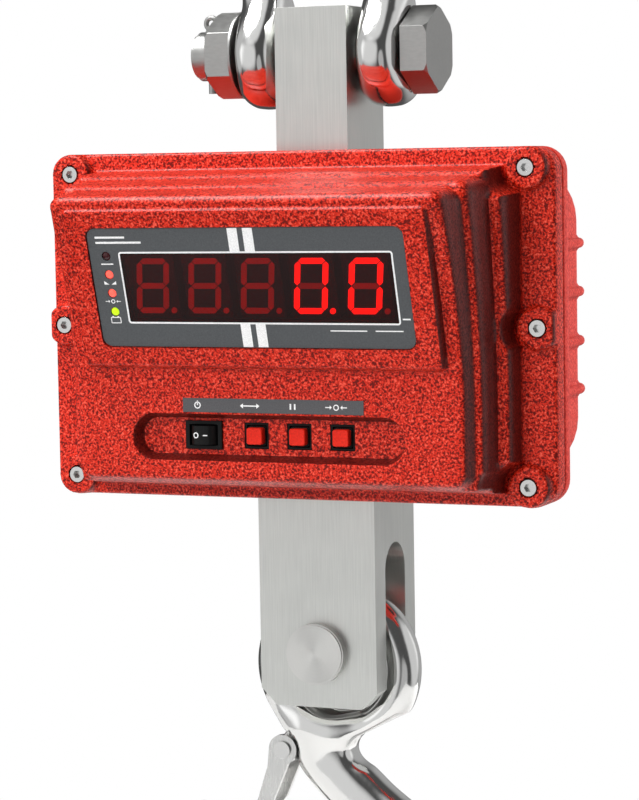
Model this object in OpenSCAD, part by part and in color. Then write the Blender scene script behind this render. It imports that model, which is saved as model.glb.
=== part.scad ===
// Crane scale: bow shackle, one-piece load cell, cast display case, clevis and latched eye hook.
// The origin is the hang point, on the inside of the shackle's crown. +Z is up, the display faces -Y.

/* [Shackle] */
// Clear width between the two ears
jaw_w = 43.5; // [43:0.5:46]
// Diameter of the round stock of the bow
bow_d = 25; // [22:0.5:26]
// Clear width inside the bow at its widest
bow_inner_w = 68; // [62:1:74]
// From the top of the bolt to the inside of the crown
bow_inner_l = 95; // [90:1:105]
// Diameter of the forged ears
ear_d = 60; // [56:1:62]
// Thickness of each ear
ear_t = 27; // [24:0.5:28]
// Diameter of the shackle bolt
bolt_d = 27; // [24:0.5:28]
// Width across flats of the bolt head and nut
hex_af = 41; // [38:0.5:44]

/* [Load cell and clevis] */
// Width of the upper block and measuring column
column_w = 41.3; // [38:0.1:42]
// Depth of the upper block and measuring column
column_d = 53.4; // [48:0.1:55]
// Width of the clevis block
clevis_w = 67.8; // [64:0.1:72]
// Depth of the clevis block
clevis_d = 60; // [58:0.5:64]
// Width of the slot that takes the hook's eye
slot_w = 30; // [28:0.5:32]
// Diameter of the clevis pin's shank
pin_d = 30; // [28:0.5:31]
// Diameter of the clevis pin's round head
pin_head_d = 33.4; // [32:0.1:36]

/* [Hook] */
// Inside diameter of the hook's eye
eye_id = 54; // [50:1:58]
// Thickness of the eye's round stock
eye_stock = 21; // [19:0.5:22]
// Thickness of the hook's bowl, front to back
bowl_t = 28; // [24:1:29]

/* [Case] */
// Width of the bolted flange
flange_w = 288.6; // [284:0.2:292]
// Height of the bolted flange
flange_h = 185.6; // [182:0.2:190]
// Thickness of the front casting's flange
front_flange_t = 11; // [9:0.5:12]
// Thickness of the rear casting's flange
rear_flange_t = 9; // [8:0.5:10]
// Distance of the rear face behind the load axis
case_back = 40; // [38:1:46]
// Wall thickness of the castings
wall = 5; // [4:0.5:6]

/* [Display and keys] */
// Width of the grey display panel
panel_w = 175; // [172:1:180]
// Height of the grey display panel, along its slope
panel_h = 65; // [62:0.5:67]
// Downward tilt of the display, in degrees
panel_tilt = 17; // [16:0.5:18]
// Height of a seven-segment digit
digit_h = 30.5; // [28:0.5:31]
// Spacing of the digits
digit_pitch = 29.6; // [28.5:0.1:30]
// Side of a square key cap
key_w = 10.2; // [9:0.1:11]
// Spacing of the three keys
key_pitch = 24.2; // [22:0.1:25]

/* [Hidden] */
$fn = 64;
eps = 0.01;

// Heights, measured down from the hang point
bolt_z = -(bow_inner_l + bolt_d / 2);
case_z = bolt_z - 145.7;
// Heights below are measured from the case's centre
column_top = 169.4;
clevis_top = -94.4;
clevis_bottom = -209.1;
clevis_chamfer = 9.2;
slot_top = -121;
pin_z = -179.2;

// Shackle
ear_x = jaw_w / 2 + ear_t / 2;
ear_round = 9;
bow_r = bow_inner_w / 2 + bow_d / 2;
bow_z = -bow_inner_w / 2;
knee_z = bolt_z + 28.5;
leg_lean = atan((bow_r - ear_x) / (bow_z - knee_z));
// The balls at the knee and below the bow stand a little proud, so that the legs end inside them
ball_d = bow_d + 0.4;
ear_outer = jaw_w / 2 + ear_t;
hex_r = hex_af / sqrt(3);
head_t = 15;
nut_t = 15;
washer_t = 1.6;
bolt_end = -(ear_outer + washer_t + nut_t + 12);
cotter_x = bolt_end + 7.5;
cotter_r = 2.2;
bolt_play = 0.5;

// Case: planes on the Y axis, the display side is negative
flange_y = -52;
split_y = flange_y + front_flange_t;
gasket_t = 2;
rear_y = split_y + gasket_t;
body_y = rear_y + rear_flange_t;
flange_r = 13;
screw_x = 130;
screw_z = 82;
mid_screw_x = 135.6;
boss_r = 11.5;
boss_h = 6;
screw_xz = [
    [-screw_x, screw_z], [-mid_screw_x, 0], [-screw_x, -screw_z],
    [screw_x, screw_z], [mid_screw_x, 0], [screw_x, -screw_z]
];
cap_head_r = 4.25;
cap_head_h = 5;
thread_r = 2.5;
// Each tier of the front casting: half width, bottom, top, front plane, reach of its brow
tiers = [
    [126, -86, 83, -69, 11],
    [117.5, -83.5, 78, -86, 18],
    [111, -80.5, 73, -94.6, 31]
];
tier_r = 9;
sweep_z = -35;
brow_z = 67;
sweep_power = 1.55;
sweep_steps = 12;

// Display block and panel, in the tilted plane of the display
block_w = 202;
block_top = 64;
block_bottom = -19.3;
block_front = -127;
block_depth = 10;
panel_z = 22.9;
panel_y = block_front + (block_top - panel_z) * tan(panel_tilt);
panel_t = 1.2;
panel_sink = 0.8;
panel_r = 5;
window_w = 150;
window_h = 37.6;
window_x = 4.9;
window_t = 2;
seal_w = 4;
seal_t = 1.5;
digit_w = 25;
digit_module_h = digit_h + 4;
digit_t = 10.5;
led_x = -78.2;
led_pitch = 10.2;
led_r = 2.2;
board_t = 1.6;
digit_y = panel_sink + 0.2 + window_t + seal_t + 0.3;
board_y = digit_y + digit_t;
display_board_w = 168;
display_board_h = 46;
display_screw = [81, 20, 2.5];
// Ribbon cable from the display board's lower edge to the back of the key board
ribbon_x = 34;
ribbon_w = 26;
ribbon_t = 1;
ribbon_lap = 6;
ribbon_drop = 22;

// Key recess in the lower face
face_y = tiers[2][3];
recess_w = 153;
recess_h = 24;
recess_z = -56;
recess_draft = 3;
recess_depth = 8;
floor_y = face_y + recess_depth;
key_z = -55.3;
key_x = [for (i = [0:2]) -9 + i * key_pitch];
key_frame_w = 13.8;
key_proud = 3.6;
key_travel = 1.2;
key_gap = 0.4;
rocker_x = -38.8;
rocker_w = 21;
rocker_h = 15;
rocker_r = 8;
label_w = 101.8;
label_h = 7.4;
label_x = 3.6;
label_z = -39;
key_board_y = floor_y + 15;
key_board_size = [74, 22];

// Rear casting
rear_w = 263;
rear_h = 168;
rear_corner = 30;
rear_round = 18;
rib_z = [41, 15, -11.5, -37.5];
rib_t = 5.5;
rib_proud = 4;
door_x = -66;
door_w = 100;
door_opening = 76;
door_h = 128;
door_r = 8;
door_t = 5;
door_screw_x = door_w / 2 - 6.5;
door_screw_z = door_h / 2 - 8;
battery_size = [70, 47, 101];
battery_x = door_x;
socket_x = 92;
socket_y = 2;
socket_r = 9;
cap_hinge_y = 15.2;
seal_gap = 2;
socket_z = -rear_h / 2;

// Pieces inside the case
gauge_r = 14;
cover_t = 1;
cell_lead_r = 2;
cell_lead_start = [14, -column_d / 2 - 2.2, 4];
cell_lead_run = 24;
cell_lead_drop = 30;
bracket_bolt_z = 60;
bracket_size = [36, 144];
main_board_size = [72, 96];
main_board_at = [84, 2];
main_board_y = 24;
main_screw = [31, 43];
battery_at = [battery_x, 6, -4];
terminal_x = 22;
strap_t = 2;
strap_w = 16;
battery_lead_run = 34;

// Hook: centre line and half width, measured from the pin axis
eye_z = -(eye_id - pin_d) / 2 + 0.3;
hook_path = [
    [-10, -47, 18], [-9, -62, 16], [16, -88, 17], [45, -118, 19.5],
    [43, -158, 20.7], [0, -185, 20.3], [-43, -166, 19], [-66, -131, 15.5], [-86, -99, 6]
];
hook_steps = 4;
hook_last = len(hook_path) - 1;
hook_spine = [for (i = [0:hook_last - 1], k = [0:hook_steps - 1])
    curve(hook_path[max(0, i - 1)], hook_path[i], hook_path[i + 1], hook_path[min(hook_last, i + 2)],
        k / hook_steps)];
latch_x = -30;
latch_z = -58.9;
latch_boss_r = 8.3;
latch_pin_r = 4;
latch_toe = [-28.4, -51.2];
latch_bend = [-15.5, -29];
lug_t = 9;
cheek_y = 9;
cheek_t = 3;

module at_case() translate([0, 0, case_z]) children();
module at_pin() translate([0, 0, case_z + pin_z]) children();
module at_latch() at_pin() translate([latch_x, 0, latch_z]) children();
module along_x() rotate([0, 90, 0]) children();
module along_y() rotate([-90, 0, 0]) children();

// Extrudes a shape drawn in X and Z along Y, from y0 to y1
module plate(y0, y1) translate([0, y1, 0]) rotate([90, 0, 0]) linear_extrude(y1 - y0) children();

// Extrudes a profile drawn in Y and Z along X, from -w to w
module bar(w) rotate([90, 0, 90]) translate([0, 0, -w]) linear_extrude(2 * w) children();

module rounded(w, h, r) {
    square([w - 2 * r, h], center = true);
    square([w, h - 2 * r], center = true);
    for (sx = [-1, 1], sz = [-1, 1]) translate([sx * (w / 2 - r), sz * (h / 2 - r)]) circle(r);
}

module rod_y(r, y0, y1) translate([0, y0, 0]) along_y() cylinder(r = r, h = y1 - y0);
module rod_x(r, x0, x1) translate([x0, 0, 0]) along_x() cylinder(r = r, h = x1 - x0);

// Hexagonal prism along X with a flat towards the display side
module hex_x(x0, x1) translate([x0, 0, 0]) along_x() cylinder(r = hex_r, h = x1 - x0, $fn = 6);

// ---- Shackle ----
module ear_profile() {
    translate([0, -ear_t / 2]) square([ear_d / 2 - ear_round, ear_t]);
    translate([0, ear_round - ear_t / 2]) square([ear_d / 2, ear_t - 2 * ear_round]);
    for (s = [-1, 1]) translate([ear_d / 2 - ear_round, s * (ear_t / 2 - ear_round)]) circle(ear_round);
}

module shackle_bow() color("silver") difference() {
    union() {
        translate([0, 0, bow_z]) rotate([90, 0, 0])
            rotate_extrude(angle = 180) translate([bow_r, 0]) circle(d = bow_d);
        for (s = [-1, 1]) {
            translate([s * bow_r, 0, bow_z]) sphere(d = ball_d);
            translate([s * ear_x, 0, knee_z]) sphere(d = ball_d);
            translate([s * ear_x, 0, knee_z]) rotate([0, s * leg_lean, 0])
                cylinder(d = bow_d, h = (bow_z - knee_z) / cos(leg_lean));
            translate([s * ear_x, 0, bolt_z]) cylinder(d = bow_d, h = knee_z - bolt_z);
            translate([s * ear_x, 0, bolt_z]) along_x() rotate_extrude() ear_profile();
        }
    }
    translate([0, 0, bolt_z]) rod_x(bolt_d / 2 + bolt_play, -bow_r * 2, bow_r * 2);
    translate([0, 0, bolt_z]) cube([jaw_w, ear_d + 2, ear_d + 2], center = true);
}

module shackle_bolt() color("gainsboro") translate([0, 0, bolt_z]) difference() {
    union() {
        rod_x(bolt_d / 2, bolt_end + 2, ear_outer + eps);
        rod_x(bolt_d / 2 - 1.5, bolt_end, bolt_end + 2 + eps);
        intersection() {
            hex_x(ear_outer, ear_outer + head_t);
            translate([ear_outer, 0, 0]) along_x() cylinder(r1 = hex_r + 12, r2 = hex_r - 1.6, h = head_t);
        }
    }
    translate([cotter_x, 0, -bolt_d]) cylinder(r = cotter_r + 0.3, h = 2 * bolt_d);
}

module shackle_nut() color("darkgray") translate([0, 0, bolt_z]) difference() {
    nut_x = -(ear_outer + washer_t);
    intersection() {
        hex_x(nut_x - nut_t, nut_x);
        translate([nut_x - nut_t, 0, 0]) along_x() cylinder(r1 = hex_r - 1.6, r2 = hex_r + 12, h = nut_t);
    }
    rod_x(bolt_d / 2 + 0.05, nut_x - nut_t - 1, nut_x + 1);
}

module shackle_washer() color("silver") translate([0, 0, bolt_z]) difference() {
    rod_x(24, -(ear_outer + washer_t), -ear_outer);
    rod_x(bolt_d / 2 + 0.3, -(ear_outer + washer_t + 1), 1 - ear_outer);
}

module cotter_pin() color("lightgray") translate([cotter_x, 0, bolt_z]) {
    translate([0, 0, -bolt_d / 2 - 7]) cylinder(r = cotter_r, h = bolt_d + 9);
    translate([0, 0, bolt_d / 2 + 4.5]) along_y() rotate_extrude() translate([3.2, 0]) circle(1.4);
}

// ---- Load cell ----
module load_cell() color("lightsteelblue") at_case() difference() {
    union() {
        translate([-column_w / 2, -column_d / 2, clevis_top - eps])
            cube([column_w, column_d, column_top - clevis_top + eps]);
        plate(-clevis_d / 2, clevis_d / 2) polygon([
            [-clevis_w / 2, clevis_top], [clevis_w / 2, clevis_top],
            [clevis_w / 2, clevis_bottom + clevis_chamfer], [clevis_w / 2 - clevis_chamfer, clevis_bottom],
            [clevis_chamfer - clevis_w / 2, clevis_bottom], [-clevis_w / 2, clevis_bottom + clevis_chamfer]
        ]);
    }
    translate([0, 0, bolt_z - case_z]) rod_x(bolt_d / 2 + bolt_play, -column_w, column_w);
    // Slot for the hook's eye, with a round end
    translate([-clevis_w, -slot_w / 2, clevis_bottom - 1])
        cube([2 * clevis_w, slot_w, slot_top - slot_w / 2 - clevis_bottom + 1]);
    translate([0, 0, slot_top - slot_w / 2]) rod_x(slot_w / 2, -clevis_w, clevis_w);
    translate([0, 0, pin_z]) rod_y(pin_d / 2 + 0.05, -clevis_d, clevis_d);
    // Gauge pockets, front and back
    for (s = [-1, 1]) translate([0, s * column_d / 2, 0]) rod_y(gauge_r, -gauge_r, gauge_r);
    // Tapped holes that carry the case
    for (s = [-1, 1]) translate([0, 0, s * bracket_bolt_z]) rod_y(4, 6, column_d);
}

module gauge_covers() color("gray") at_case() for (s = [-1, 1])
    translate([0, s * (column_d / 2 - cover_t), 0]) rod_y(gauge_r - 0.1, -cover_t, cover_t);

module cell_cable() color("black") at_case() translate(cell_lead_start) {
    rod_x(cell_lead_r, -cell_lead_r, cell_lead_run);
    translate([cell_lead_run, 0, 0]) sphere(cell_lead_r);
    translate([cell_lead_run, 0, -cell_lead_drop]) cylinder(r = cell_lead_r, h = cell_lead_drop);
}

module seal_ring(z0, z1, grow) difference() {
    translate([0, 0, z0]) linear_extrude(z1 - z0) rounded(column_w + 2 * grow, column_d + 2 * grow, grow);
    translate([0, 0, z0 - 1]) linear_extrude(z1 - z0 + 2) square([column_w, column_d], center = true);
}

module top_seal() color("black") at_case() seal_ring(flange_h / 2 - 16.5, rear_h / 2 + 1, seal_gap);
module bottom_seal() color("black") at_case() seal_ring(clevis_top + 0.3, 10 - flange_h / 2, seal_gap);

module cell_bracket() color("silver") at_case() translate([0, column_d / 2, 0]) difference() {
    plate(0, case_back - wall - column_d / 2) square(bracket_size, center = true);
    for (s = [-1, 1]) translate([0, 0, s * bracket_bolt_z]) rod_y(4.3, -1, 20);
}

module bracket_bolts() color("dimgray") at_case() for (s = [-1, 1]) translate([0, 0, s * bracket_bolt_z]) {
    rod_y(4, 8, case_back + eps);
    rod_y(6.5, case_back, case_back + 5);
}

// ---- Case ----
function sweep(z) = pow(max(0, (z - sweep_z) / (brow_z - sweep_z)), sweep_power);
function tier_front(tier, z) = tier[3] - tier[4] * sweep(min(z, brow_z));

// Side profile of one tier: a flat lower face that sweeps forwards to a rounded brow
module tier_profile(tier, inset) {
    top = tier[2] - inset;
    bottom = tier[1] + inset;
    swept = [for (i = [0:sweep_steps]) let (z = sweep_z + i * (brow_z - inset - sweep_z) / sweep_steps)
        [tier_front(tier, z) + inset, z]];
    polygon(concat([[split_y, bottom], [tier[3] + inset + 2, bottom], [tier[3] + inset, bottom + 2]], swept,
        [[tier_front(tier, brow_z) + inset + 4, top], [split_y, top + 1.5]]));
}

module tier_body(tier, inset) {
    centre_z = (tier[1] + tier[2]) / 2;
    intersection() {
        bar(tier[0] - inset) tier_profile(tier, inset);
        plate(-200, 0) translate([0, centre_z])
            rounded(2 * (tier[0] - inset), tier[2] - tier[1] - 2 * inset + 3, tier_r);
    }
}

module flange_outline() rounded(flange_w, flange_h, flange_r);

module on_panel() translate([0, panel_y, panel_z]) rotate([panel_tilt, 0, 0]) children();

module stadium(w, h) {
    square([w - h, h], center = true);
    for (s = [-1, 1]) translate([s * (w - h) / 2, 0]) circle(h / 2);
}

module display_block() {
    block_h = (block_top - block_bottom) / cos(panel_tilt);
    middle = (block_top + block_bottom) / 2 - panel_z;
    on_panel() plate(0, block_depth) translate([0, middle / cos(panel_tilt)]) rounded(block_w, block_h, 3);
}

// Hollow inside of the front casting, following the tiers and leaving a floor behind the key recess
module front_hollow() difference() {
    union() {
        tier_body(tiers[1], wall);
        tier_body(tiers[2], wall);
        translate([0, 0, (tiers[1][1] + tiers[1][2]) / 2]) plate(split_y - wall, split_y + 1)
            rounded(2 * (tiers[1][0] - wall), tiers[1][2] - tiers[1][1] - 2 * wall, tier_r);
    }
    translate([0, 0, recess_z]) plate(2 * face_y, floor_y + wall)
        stadium(recess_w + 2 * wall - recess_draft, recess_h + 2 * wall - recess_draft);
}

module front_casting() color("crimson") at_case() difference() {
    union() {
        plate(flange_y, split_y) flange_outline();
        difference() {
            union() {
                for (tier = tiers) tier_body(tier, 0);
                display_block();
            }
            for (p = screw_xz) translate([p[0], 0, p[1]]) rod_y(boss_r + 2, -160, flange_y);
        }
        intersection() {
            for (p = screw_xz) translate([p[0], 0, p[1]]) rod_y(boss_r, flange_y - boss_h, split_y);
            plate(-100, 0) flange_outline();
        }
    }
    front_hollow();
    for (p = screw_xz) translate([p[0], 0, p[1]]) {
        rod_y(thread_r + 0.3, -100, 0);
        rod_y(cap_head_r + 0.6, -100, flange_y - boss_h + cap_head_h);
    }
    // Panel recess and display opening
    on_panel() {
        plate(-3, panel_sink + panel_t) rounded(panel_w + 0.6, panel_h + 0.6, panel_r + 0.3);
        translate([window_x, 0, 0]) plate(0, 40) square([window_w + 4, window_h + 2], center = true);
        for (i = [0:3]) translate([led_x, 0, led_height(i)]) rod_y(led_r + 0.3, 0, 40);
    }
    // Key recess with cut-outs for the rocker and the three keys
    for (i = [0:3]) translate([0, 0, recess_z]) plate(face_y - 1, face_y + (i + 1) * recess_depth / 4)
        stadium(recess_w - i * recess_draft / 2, recess_h - i * recess_draft / 2);
    translate([rocker_x, 0, key_z]) plate(-100, -60) square([rocker_w - 2, rocker_h - 2], center = true);
    for (x = key_x) translate([x, 0, key_z]) plate(-100, -60) square(key_frame_w, center = true);
}

// Outline of the rear body, drawn in by inset on every side
module rear_outline(inset, r) rounded(rear_w - 2 * inset, rear_h - 2 * inset, r, $fn = 32);

module rear_shape(grow, back) hull() {
    plate(body_y, back - rear_round) rear_outline(-grow, rear_corner + grow);
    plate(back - rear_round / 3, back - rear_round / 3 + eps) rear_outline(4 - grow, rear_corner + grow);
    plate(body_y, back) rear_outline(rear_round - grow, rear_corner);
}

module rear_casting() color("firebrick") at_case() difference() {
    union() {
        plate(rear_y, body_y) flange_outline();
        rear_shape(0, case_back);
        intersection() {
            rear_shape(rib_proud, case_back + rib_proud);
            for (z = rib_z) translate([-200, body_y - 1, z - rib_t / 2]) cube([400, 100, rib_t]);
        }
        translate([door_x, 0, 0]) plate(body_y, case_back + rib_proud)
            rounded(door_w + 10, door_h + 10, door_r);
    }
    // Inside, left open at the front
    plate(rear_y - 1, case_back - wall) rounded(rear_w - 2 * rear_round + 16, rear_h - 2 * wall, 12);
    // Openings for the load cell's column
    translate([-column_w / 2 - seal_gap, -column_d / 2 - seal_gap, -flange_h])
        cube([column_w + 2 * seal_gap, column_d + 2 * seal_gap, 2 * flange_h]);
    for (p = screw_xz) translate([p[0], 0, p[1]]) rod_y(thread_r, rear_y - 1, body_y + 1);
    for (s = [-1, 1]) translate([0, 0, s * bracket_bolt_z]) rod_y(4.3, 20, 60);
    // Seat and opening of the battery door
    translate([door_x, 0, 0]) {
        plate(case_back + rib_proud - door_t, 60) rounded(door_w + 0.6, door_h + 0.6, door_r);
        plate(20, 60) square([door_opening, door_h - 12], center = true);
        for (sx = [-1, 1], sz = [-1, 1])
            translate([sx * door_screw_x, 0, sz * door_screw_z]) rod_y(2, 20, 60);
    }
    // Hole of the charging socket
    translate([socket_x, socket_y, -flange_h]) cylinder(r = socket_r - 1, h = flange_h / 2 + 40);
}

module case_gasket() color("black") at_case() difference() {
    plate(split_y, rear_y) rounded(flange_w - 4, flange_h - 4, flange_r - 2);
    plate(split_y - 1, rear_y + 1) rounded(flange_w - 52, flange_h - 28, flange_r);
    for (p = screw_xz) translate([p[0], 0, p[1]]) rod_y(thread_r + 0.4, -100, 0);
}

module case_screws() color("silver") at_case() for (p = screw_xz) translate([p[0], flange_y - boss_h, p[1]])
    difference() {
        union() {
            rod_y(cap_head_r, 0, cap_head_h);
            rod_y(thread_r, cap_head_h - eps, body_y - flange_y + boss_h - 1);
        }
        translate([0, -1, 0]) along_y() cylinder(r = 2.3, h = 4, $fn = 6);
    }

// ---- Display ----
function led_height(i) = window_h / 2 - 1.5 - i * led_pitch;

module display_panel() color("dimgray") at_case() on_panel() difference() {
    plate(panel_sink, panel_sink + panel_t) rounded(panel_w, panel_h, panel_r);
    translate([window_x, 0, 0]) plate(-1, 5) square([window_w, window_h], center = true);
    for (i = [0:3]) translate([led_x, 0, led_height(i)]) rod_y(led_r + 0.3, -1, 5);
}

module display_window() color("maroon") at_case() on_panel() translate([window_x, 0, 0])
    plate(panel_sink + 0.2, panel_sink + 0.2 + window_t)
        square([window_w - 0.2, window_h - 0.2], center = true);

module window_seal() color("black") at_case() on_panel() translate([window_x, 0, 0]) difference() {
    seal_y = panel_sink + 0.2 + window_t;
    plate(seal_y, seal_y + seal_t) square([window_w + 3, window_h + 1], center = true);
    plate(seal_y - 1, seal_y + seal_t + 1) square([window_w - 2, window_h - 2], center = true);
}

module digit(i) color("darkred") at_case() on_panel()
    translate([window_x + (i - 2) * digit_pitch, 0, 0])
        plate(digit_y, board_y) square([digit_w, digit_module_h], center = true);

module status_leds() color("red") at_case() on_panel()
    for (i = [0:3]) translate([led_x, 0, led_height(i)]) {
        rod_y(led_r, panel_sink + 0.4, board_y);
        rod_y(led_r + 0.6, board_y - 2, board_y);
    }

module display_board() color("darkgreen") at_case() on_panel() plate(board_y, board_y + board_t)
    square([display_board_w, display_board_h], center = true);

module display_screws() color("silver") at_case() on_panel() for (sx = [-1, 1], sz = [-1, 1])
    translate([sx * display_screw[0], 0, sz * display_screw[1]])
        rod_y(display_screw[2], board_y + board_t, board_y + board_t + 2);

// A point behind the display's plane, at depth d and height h along the slope, as [y, z]
function behind_panel(d, h) = [
    panel_y + d * cos(panel_tilt) - h * sin(panel_tilt), panel_z + d * sin(panel_tilt) + h * cos(panel_tilt)
];

module display_cable() color("gray") at_case() translate([ribbon_x, 0, 0]) {
    back = board_y + board_t;
    low = -display_board_h / 2 - ribbon_lap;
    turn = behind_panel(back, low);
    key_back = key_board_y + board_t;
    bar(ribbon_w / 2) polygon([
        behind_panel(back, low + 2 * ribbon_lap), turn,
        [key_back, turn[1] - ribbon_drop], [key_back, key_z + ribbon_lap],
        [key_back + ribbon_t, key_z + ribbon_lap], [key_back + ribbon_t, turn[1] - ribbon_drop + ribbon_t / 2],
        behind_panel(back + ribbon_t, low + ribbon_t / 2), behind_panel(back + ribbon_t, low + 2 * ribbon_lap)
    ]);
}

// ---- Keys and rocker ----
module key_label() color("dimgray") at_case() translate([label_x, 0, label_z])
    plate(face_y - 0.35, face_y) square([label_w, label_h], center = true);

module key_board() color("darkgreen") at_case() translate([key_x[1], 0, key_z])
    plate(key_board_y, key_board_y + board_t) square(key_board_size, center = true);

module key_frames() color("black") at_case() for (x = key_x) translate([x, 0, key_z]) difference() {
    plate(floor_y + 0.4, key_board_y) square(key_frame_w - 0.2, center = true);
    plate(floor_y - 1, floor_y + 8) square(key_w + 2 * key_gap, center = true);
}

module key_cap(i) color("red") at_case() translate([key_x[i], 0, key_z])
    plate(floor_y - key_proud, floor_y + 5) square(key_w, center = true);

module rocker_housing() color("black") at_case() translate([rocker_x, 0, key_z]) difference() {
    union() {
        plate(floor_y - 1.5, floor_y) square([rocker_w, rocker_h], center = true);
        plate(floor_y - eps, floor_y + 14) square([rocker_w - 2.4, rocker_h - 2.4], center = true);
    }
    plate(floor_y - 5, floor_y + 10) square([rocker_w - 5, rocker_h - 4], center = true);
}

// The rocker turns on the vertical axis through its centre
module rocker() color("black") at_case() translate([rocker_x, floor_y + 2, key_z]) difference() {
    intersection() {
        translate([0, 0, -(rocker_h - 5) / 2]) cylinder(r = rocker_r - 0.3, h = rocker_h - 5);
        translate([0, -4, 0]) cube([2 * rocker_r, 9, rocker_h], center = true);
    }
    for (s = [-1, 1]) translate([s * 9.2, -9.6, 0]) rotate([0, 0, s * 12])
        cube([18, 8, rocker_h], center = true);
}

// ---- Inside ----
module at_main_board() at_case() translate([main_board_at[0], 0, main_board_at[1]]) children();

module main_board() color("darkgreen") at_main_board()
    plate(main_board_y, main_board_y + board_t) square(main_board_size, center = true);

module main_board_screws() color("silver") at_main_board() for (sx = [-1, 1], sz = [-1, 1])
    translate([sx * main_screw[0], 0, sz * main_screw[1]]) {
        rod_y(3, main_board_y + board_t, case_back - wall);
        rod_y(2.8, main_board_y - 2, main_board_y);
    }

module battery() color("slategray") at_case() translate(battery_at) {
    cube(battery_size, center = true);
    for (s = [-1, 1]) translate([s * terminal_x, 0, battery_size[2] / 2]) cube([5, 1, 12], center = true);
}

module battery_strap() color("silver") at_case() translate(battery_at) difference() {
    cube([battery_size[0] + 2 * strap_t, battery_size[1] + 2 * strap_t, strap_w], center = true);
    cube([battery_size[0], battery_size[1], strap_w + 4], center = true);
}

module battery_lead() color("red") at_case()
    translate(battery_at + [terminal_x, 0, battery_size[2] / 2 + 6]) {
        cylinder(r = 2, h = 8);
        translate([0, 0, 8]) sphere(2);
        translate([0, 0, 8]) rotate([90, 0, 0]) cylinder(r = 2, h = battery_lead_run);
    }

module battery_door() color("firebrick") at_case() translate([door_x, 0, 0]) difference() {
    union() {
        plate(case_back + rib_proud - door_t + 1, case_back + rib_proud) rounded(door_w, door_h, door_r);
        for (z = rib_z) translate([0, 0, z]) plate(case_back + rib_proud - eps, case_back + 2 * rib_proud)
            rounded(door_w - 30, rib_t, rib_t / 2 - eps);
    }
    for (sx = [-1, 1], sz = [-1, 1])
        translate([sx * door_screw_x, 0, sz * door_screw_z]) rod_y(2.3, 20, 60);
}

module door_gasket() color("black") at_case() translate([door_x, 0, 0]) difference() {
    seat_y = case_back + rib_proud - door_t;
    plate(seat_y, seat_y + 1) rounded(door_w, door_h, door_r);
    plate(20, 60) square([door_opening, door_h - 12], center = true);
    for (sx = [-1, 1], sz = [-1, 1])
        translate([sx * door_screw_x, 0, sz * door_screw_z]) rod_y(2.3, 20, 60);
}

module door_screw() difference() {
    union() {
        rod_y(3.6, 0, 2.6);
        rod_y(1.95, -10, eps);
    }
    along_y() translate([0, 0, 1]) cylinder(r = 1.7, h = 4, $fn = 6);
}

module door_screws() color("silver") at_case() translate([door_x, case_back + rib_proud, 0])
    for (sx = [-1, 1], sz = [-1, 1]) translate([sx * door_screw_x, 0, sz * door_screw_z]) door_screw();

module rating_plate() color("silver") at_case() translate([72, 0, 55.5])
    plate(case_back, case_back + 0.6) rounded(72, 19, 3);

module charge_socket() color("black") at_case() translate([socket_x, socket_y, socket_z]) difference() {
    union() {
        translate([0, 0, -3]) cylinder(r = socket_r + 2, h = 3);
        cylinder(r = socket_r - 1.2, h = 16);
    }
    translate([0, 0, -4]) cylinder(r = 5.5, h = 12);
}

module socket_cap() color("dimgray") at_case() translate([socket_x, socket_y, socket_z - 3.3])
difference() {
    union() {
        translate([0, 0, -2.5]) cylinder(r = socket_r + 1.5, h = 2.5);
        cylinder(r = 5.1, h = 4);
        translate([-4, 0, -2.5]) cube([8, cap_hinge_y + 1.9, 2.5]);
        translate([0, cap_hinge_y, -0.6]) rod_x(1.9, -4, 4);
    }
    translate([0, cap_hinge_y, -0.6]) rod_x(1.05, -5, 5);
}

module cap_hinge_pin() color("silver") at_case()
    translate([socket_x, socket_y + cap_hinge_y, socket_z - 3.9]) {
        rod_x(1, -7, 7);
        for (s = [-1, 1]) translate([s * 5.7, 0, 0]) difference() {
            union() {
                rod_x(1.9, -1.2, 1.2);
                translate([-1.2, -1.9, 0]) cube([2.4, 3.8, 3.9]);
            }
            rod_x(1 - eps, -2, 2);
        }
    }

// ---- Clevis pin and hook ----
module clevis_pin() color("lightgray") at_pin() difference() {
    union() {
        rod_y(pin_d / 2, -clevis_d / 2 - eps, clevis_d / 2 + 7);
        rod_y(pin_head_d / 2, -clevis_d / 2 - 5.2, -clevis_d / 2);
        rod_y(pin_head_d / 2 - 0.8, -clevis_d / 2 - 6, -clevis_d / 2 - 5.1);
    }
    difference() {
        rod_y(pin_d, clevis_d / 2 + 2.6, clevis_d / 2 + 4.2);
        rod_y(pin_d / 2 - 1.4, clevis_d / 2 + 2, clevis_d / 2 + 5);
    }
}

module pin_washer() color("silver") at_pin() difference() {
    rod_y(21, clevis_d / 2, clevis_d / 2 + 2.5);
    rod_y(pin_d / 2 + 0.2, clevis_d / 2 - 1, clevis_d / 2 + 4);
}

module pin_circlip() color("dimgray") at_pin() difference() {
    rod_y(pin_d / 2 + 2.8, clevis_d / 2 + 2.65, clevis_d / 2 + 4.1);
    rod_y(pin_d / 2 - 1.35, clevis_d / 2 + 2, clevis_d / 2 + 5);
    translate([-2.5, 0, -pin_d]) cube([5, clevis_d, pin_d]);
}

// Smooth curve through four control points, u runs from the second to the third
function curve(a, b, c, d, u) = 0.5 * (2 * b + (c - a) * u + (2 * a - 5 * b + 4 * c - d) * u * u
    + (3 * b - a - 3 * c + d) * u * u * u);
function ahead(i) = hook_spine[min(len(hook_spine) - 1, i + 1)] - hook_spine[max(0, i - 1)];
function side(i, k) = let (d = ahead(i), n = norm([d[0], d[1]]), p = hook_spine[i])
    [p[0] - d[1] / n * k * p[2], p[1] + d[0] / n * k * p[2]];

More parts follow.
